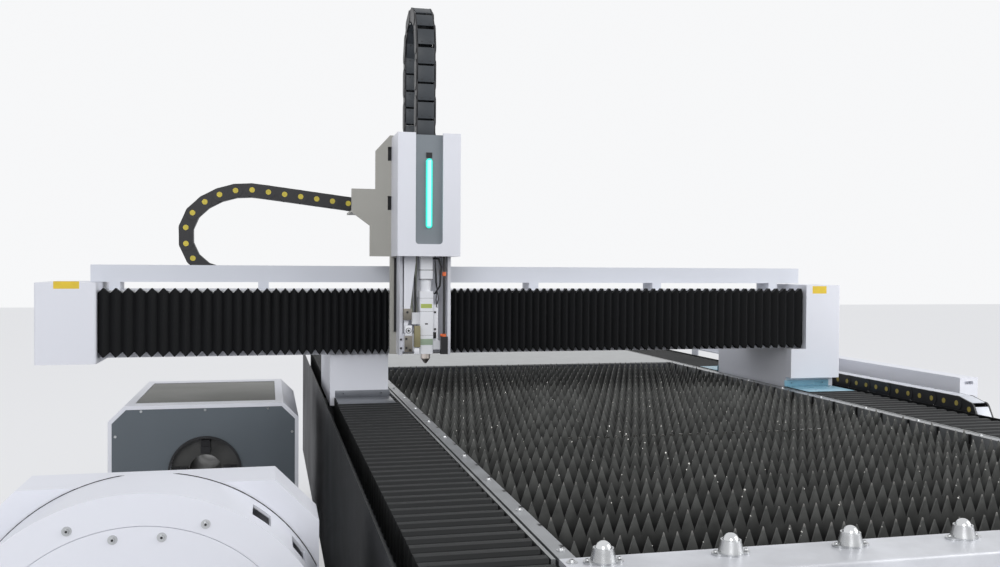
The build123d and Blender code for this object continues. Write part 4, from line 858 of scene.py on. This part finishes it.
def drag_chain(
    name, node, turn, start, heading, route, pitch, height, bodies, looks, pin_radius, lid_gap
):
    """Sets links along a route that lies in the XZ plane (turn 0) or the YZ plane (turn 90)."""
    low, high = span(node)
    across = (low + high) / 2
    width = high.y - low.y if turn == 0 else high.x - low.x
    pins = pin_places(start, heading, route, pitch)
    moving, fixed, whole = route[0][0], route[-1][0], pitch * (len(pins) - 1)
    links = [link_mesh(pitch, height, width, inset, pin_radius, lid_gap) for inset in (0.4, 2.6)]
    shape = bmesh.new()
    share = shape.verts.layers.float.new("share")
    for i, (first, last) in enumerate(zip(pins, pins[1:])):
        count = len(shape.verts)
        shape.from_mesh(links[i % 2])
        shape.verts.ensure_lookup_table()
        made = shape.verts[count:]
        for corner in made:
            done = pitch * (i + 0.5) + corner.co.x
            follow = max(0, 1 - done / moving) - max(0, 1 - (whole - done) / fixed)
            corner[share] = min(1, max(0, 0.5 + 0.5 * follow))
        middle, run = (first + last) / 2, last - first
        centre = (middle.x, across.y, middle.y) if turn == 0 else (across.x, middle.x, middle.y)
        turned = Matrix.Rotation(radians(turn), 4, "Z")
        turned = turned @ Matrix.Rotation(-atan2(run.y, run.x), 4, "Y")
        bmesh.ops.transform(shape, matrix=Matrix.Translation(centre) @ turned, verts=made)
    for mesh in links:
        bpy.data.meshes.remove(mesh)
    piece = build(name, shape, None, "black_plastic", looks, node)
    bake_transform(piece, *bodies, machine @ low, machine @ high)
    weights = piece.data.attributes["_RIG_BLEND"].data
    for weight, known in zip(weights, piece.data.attributes["share"].data):
        weight.value = known.value
    piece.data.attributes.remove(piece.data.attributes["share"])


x_pitch, x_height, x_lower = 62.5, 54.0, 760.0
low, high = span("x_chain")
corners = [machine.inverted() @ corner.co for corner in nodes["x_chain"].data.vertices]
upper_run = [corner for corner in corners if corner.z > (low.z + high.z) / 2]
lug_pin = max(upper_run, key=lambda corner: corner.x)
rise, bend, straight, gentle = 7.0, 46.0, 417.0, 286.0
drop = gentle * (cos(radians(rise)) - cos(radians(bend - rise)))
nose = lug_pin.z + straight * sin(radians(rise)) - drop - low.z - x_height / 2
nose /= 1 + cos(radians(bend - rise))
drag_chain(
    "x_drag_chain",
    "x_chain",
    turn=0,
    start=(lug_pin.x, lug_pin.z),
    heading=180 - rise,
    route=[(straight, 0), (gentle, bend), (nose, 180 + rise - bend), (x_lower, 0)],
    pitch=x_pitch,
    height=x_height,
    bodies=("gantry", "carriage"),
    looks=[link_black, link_black, pin_yellow],
    pin_radius=10.5,
    lid_gap=3.0,
)
y_pitch, y_height, y_upper, y_lower = 70.0, 54.0, 1350.0, 620.0
low, high = span("y_chain")
drag_chain(
    "y_drag_chain",
    "y_chain",
    turn=90,
    start=(high.y, high.z - y_height / 2),
    heading=180,
    route=[(y_upper, 0), ((high.z - low.z - y_height) / 2, 180), (y_lower, 0)],
    pitch=y_pitch,
    height=y_height,
    bodies=("bed", "gantry"),
    # Y chain: pale lids as painted reflection of window light, olive pins as painted shade.
    looks=[link_black, trough_coat_and_lid_reflection, pin_yellow_shaded],
    pin_radius=9.5,
    lid_gap=3.0,
)
z_pitch, z_height, z_links = 68.0, 50.0, 22
low, high = span("z_chain")
nose = (high.y - low.y - z_height) / 2
straight = (z_links * z_pitch - pi * nose + plate_top - low.z) / 2
drag_chain(
    "z_drag_chain",
    "z_chain",
    turn=90,
    start=(low.y + z_height / 2, low.z),
    heading=90,
    route=[(straight, 0), (nose, -180), (straight + low.z - plate_top + 0.6, 0)],
    pitch=z_pitch,
    height=z_height,
    bodies=("carriage", "head"),
    looks=[link_black, lid_slate],
    pin_radius=0,
    lid_gap=7.0,
)

# Side duct and chain trough: bent sheet, white on the duct and a little greyer on the trough.
# The duct's near end has an oval opening, and the trough carries the chain's lower run.
coat(white_coat, "side_duct")
coat(trough_coat_and_lid_reflection, "chain_trough")

# Far chuck: welded sheet housing in white coat, with a slate front panel, a sunk grey cover on
# top, and a black seal ring round its turning face.
slate_coat = finish("slate_coat", (0.105, 0.125, 0.142), 0.45, 800, 0.0001, 0.0, 3.0, 0.93)
top_coat = finish("top_coat", (0.095, 0.097, 0.080), 0.48, 800, 0.0001, 0.0, 3.0, 0.92)
coat(white_coat, "far_chuck_housing")
coat(slate_coat, "far_chuck_panel")
coat(link_black, "far_chuck_ring")
housing_low, housing_high = span("far_chuck_housing")
panel_face = span("far_chuck_panel")[0].y
far_screws = bmesh.new()
for x, z in (
    (-1789, 804),
    (-1556, 804),
    (-1321, 804),
    (-1881, 711),
    (-1229, 710),
    (-1881, 420),
    (-1229, 420),
):
    rod(far_screws, (x, panel_face - 1.2, z), (0, 1, 0), 5.0, 2.4, 14, tip=4.0)
build("far_chuck_screws", far_screws, "bed", "zinc", [zinc])
rim_x, rim_y = 88.6, 80.6
top_cover = bmesh.new()
block(
    top_cover,
    (housing_low.x + rim_x, housing_high.x - rim_x),
    (housing_low.y + rim_y, housing_high.y - rim_y),
    (housing_high.z - 5, housing_high.z - 1.5),
    edge=0.8,
)
build("far_chuck_top_cover", top_cover, "bed", "plate_paint", [top_coat])

# Near chuck: white sheet housing with a drum cover. Four screws with washers hold the drum at
# each quarter, and a thin black ring, painted shadow of the gap, runs round it where it meets the
# housing.
coat(white_coat, "near_chuck_housing", "near_chuck_cover")
near_low = span("near_chuck_housing")[0]
cover_low, cover_high = span("near_chuck_cover")
rotor_low, rotor_high = span("far_chuck_rotor")
tube_x = (rotor_low.x + rotor_high.x) / 2
tube_z = (rotor_low.z + rotor_high.z) / 2
drum_radius = cover_high.z - tube_z
screw_edge = 12.0
drum_screws = bmesh.new()
for quarter in range(4):
    for away, angle in ((331, -21.5), (291, -8.5), (291, 8.5), (331, 21.5)):
        turned = radians(90 * quarter + 90 + angle)
        x, z = tube_x + away * cos(turned), tube_z + away * sin(turned)
        held = cover_low.x + screw_edge < x < cover_high.x - screw_edge
        if held and cover_low.z + screw_edge < z:
            screw(drum_screws, (x, cover_low.y, z), (0, -1, 0), 5.2)
build("drum_screws", drum_screws, "near_chuck", "zinc", [zinc, socket_black])
# Painted shadow: a thin black ring in front of the housing round the drum.
gap_shadow = bmesh.new()
corners = [
    gap_shadow.verts.new((tube_x + drum_radius + out, near_low.y - ahead, tube_z))
    for out, ahead in ((-1, 0.2), (1.6, 0.2), (1.6, 2.0), (-1, 2.0))
]
ring = [gap_shadow.edges.new(pair) for pair in zip(corners, corners[1:] + corners[:1])]
centre, axis = (tube_x, 0, tube_z), (0, 1, 0)
bmesh.ops.spin(gap_shadow, geom=ring, cent=centre, axis=axis, angle=2 * pi, steps=96, use_merge=True)
for limit, way in (
    ((0, 0, cover_high.z - 3), (0, 0, 1)),
    ((0, 0, near_low.z + 1), (0, 0, -1)),
    ((cover_low.x + 1, 0, 0), (-1, 0, 0)),
    ((cover_high.x - 1, 0, 0), (1, 0, 0)),
):
    whole = gap_shadow.verts[:] + gap_shadow.edges[:] + gap_shadow.faces[:]
    bmesh.ops.bisect_plane(gap_shadow, geom=whole, plane_co=limit, plane_no=way, clear_outer=True)
bmesh.ops.holes_fill(gap_shadow, edges=gap_shadow.edges[:], sides=8)
bmesh.ops.recalc_face_normals(gap_shadow, faces=gap_shadow.faces)
build("drum_gap_shadow", gap_shadow, "near_chuck", "black_plastic", [socket_black])
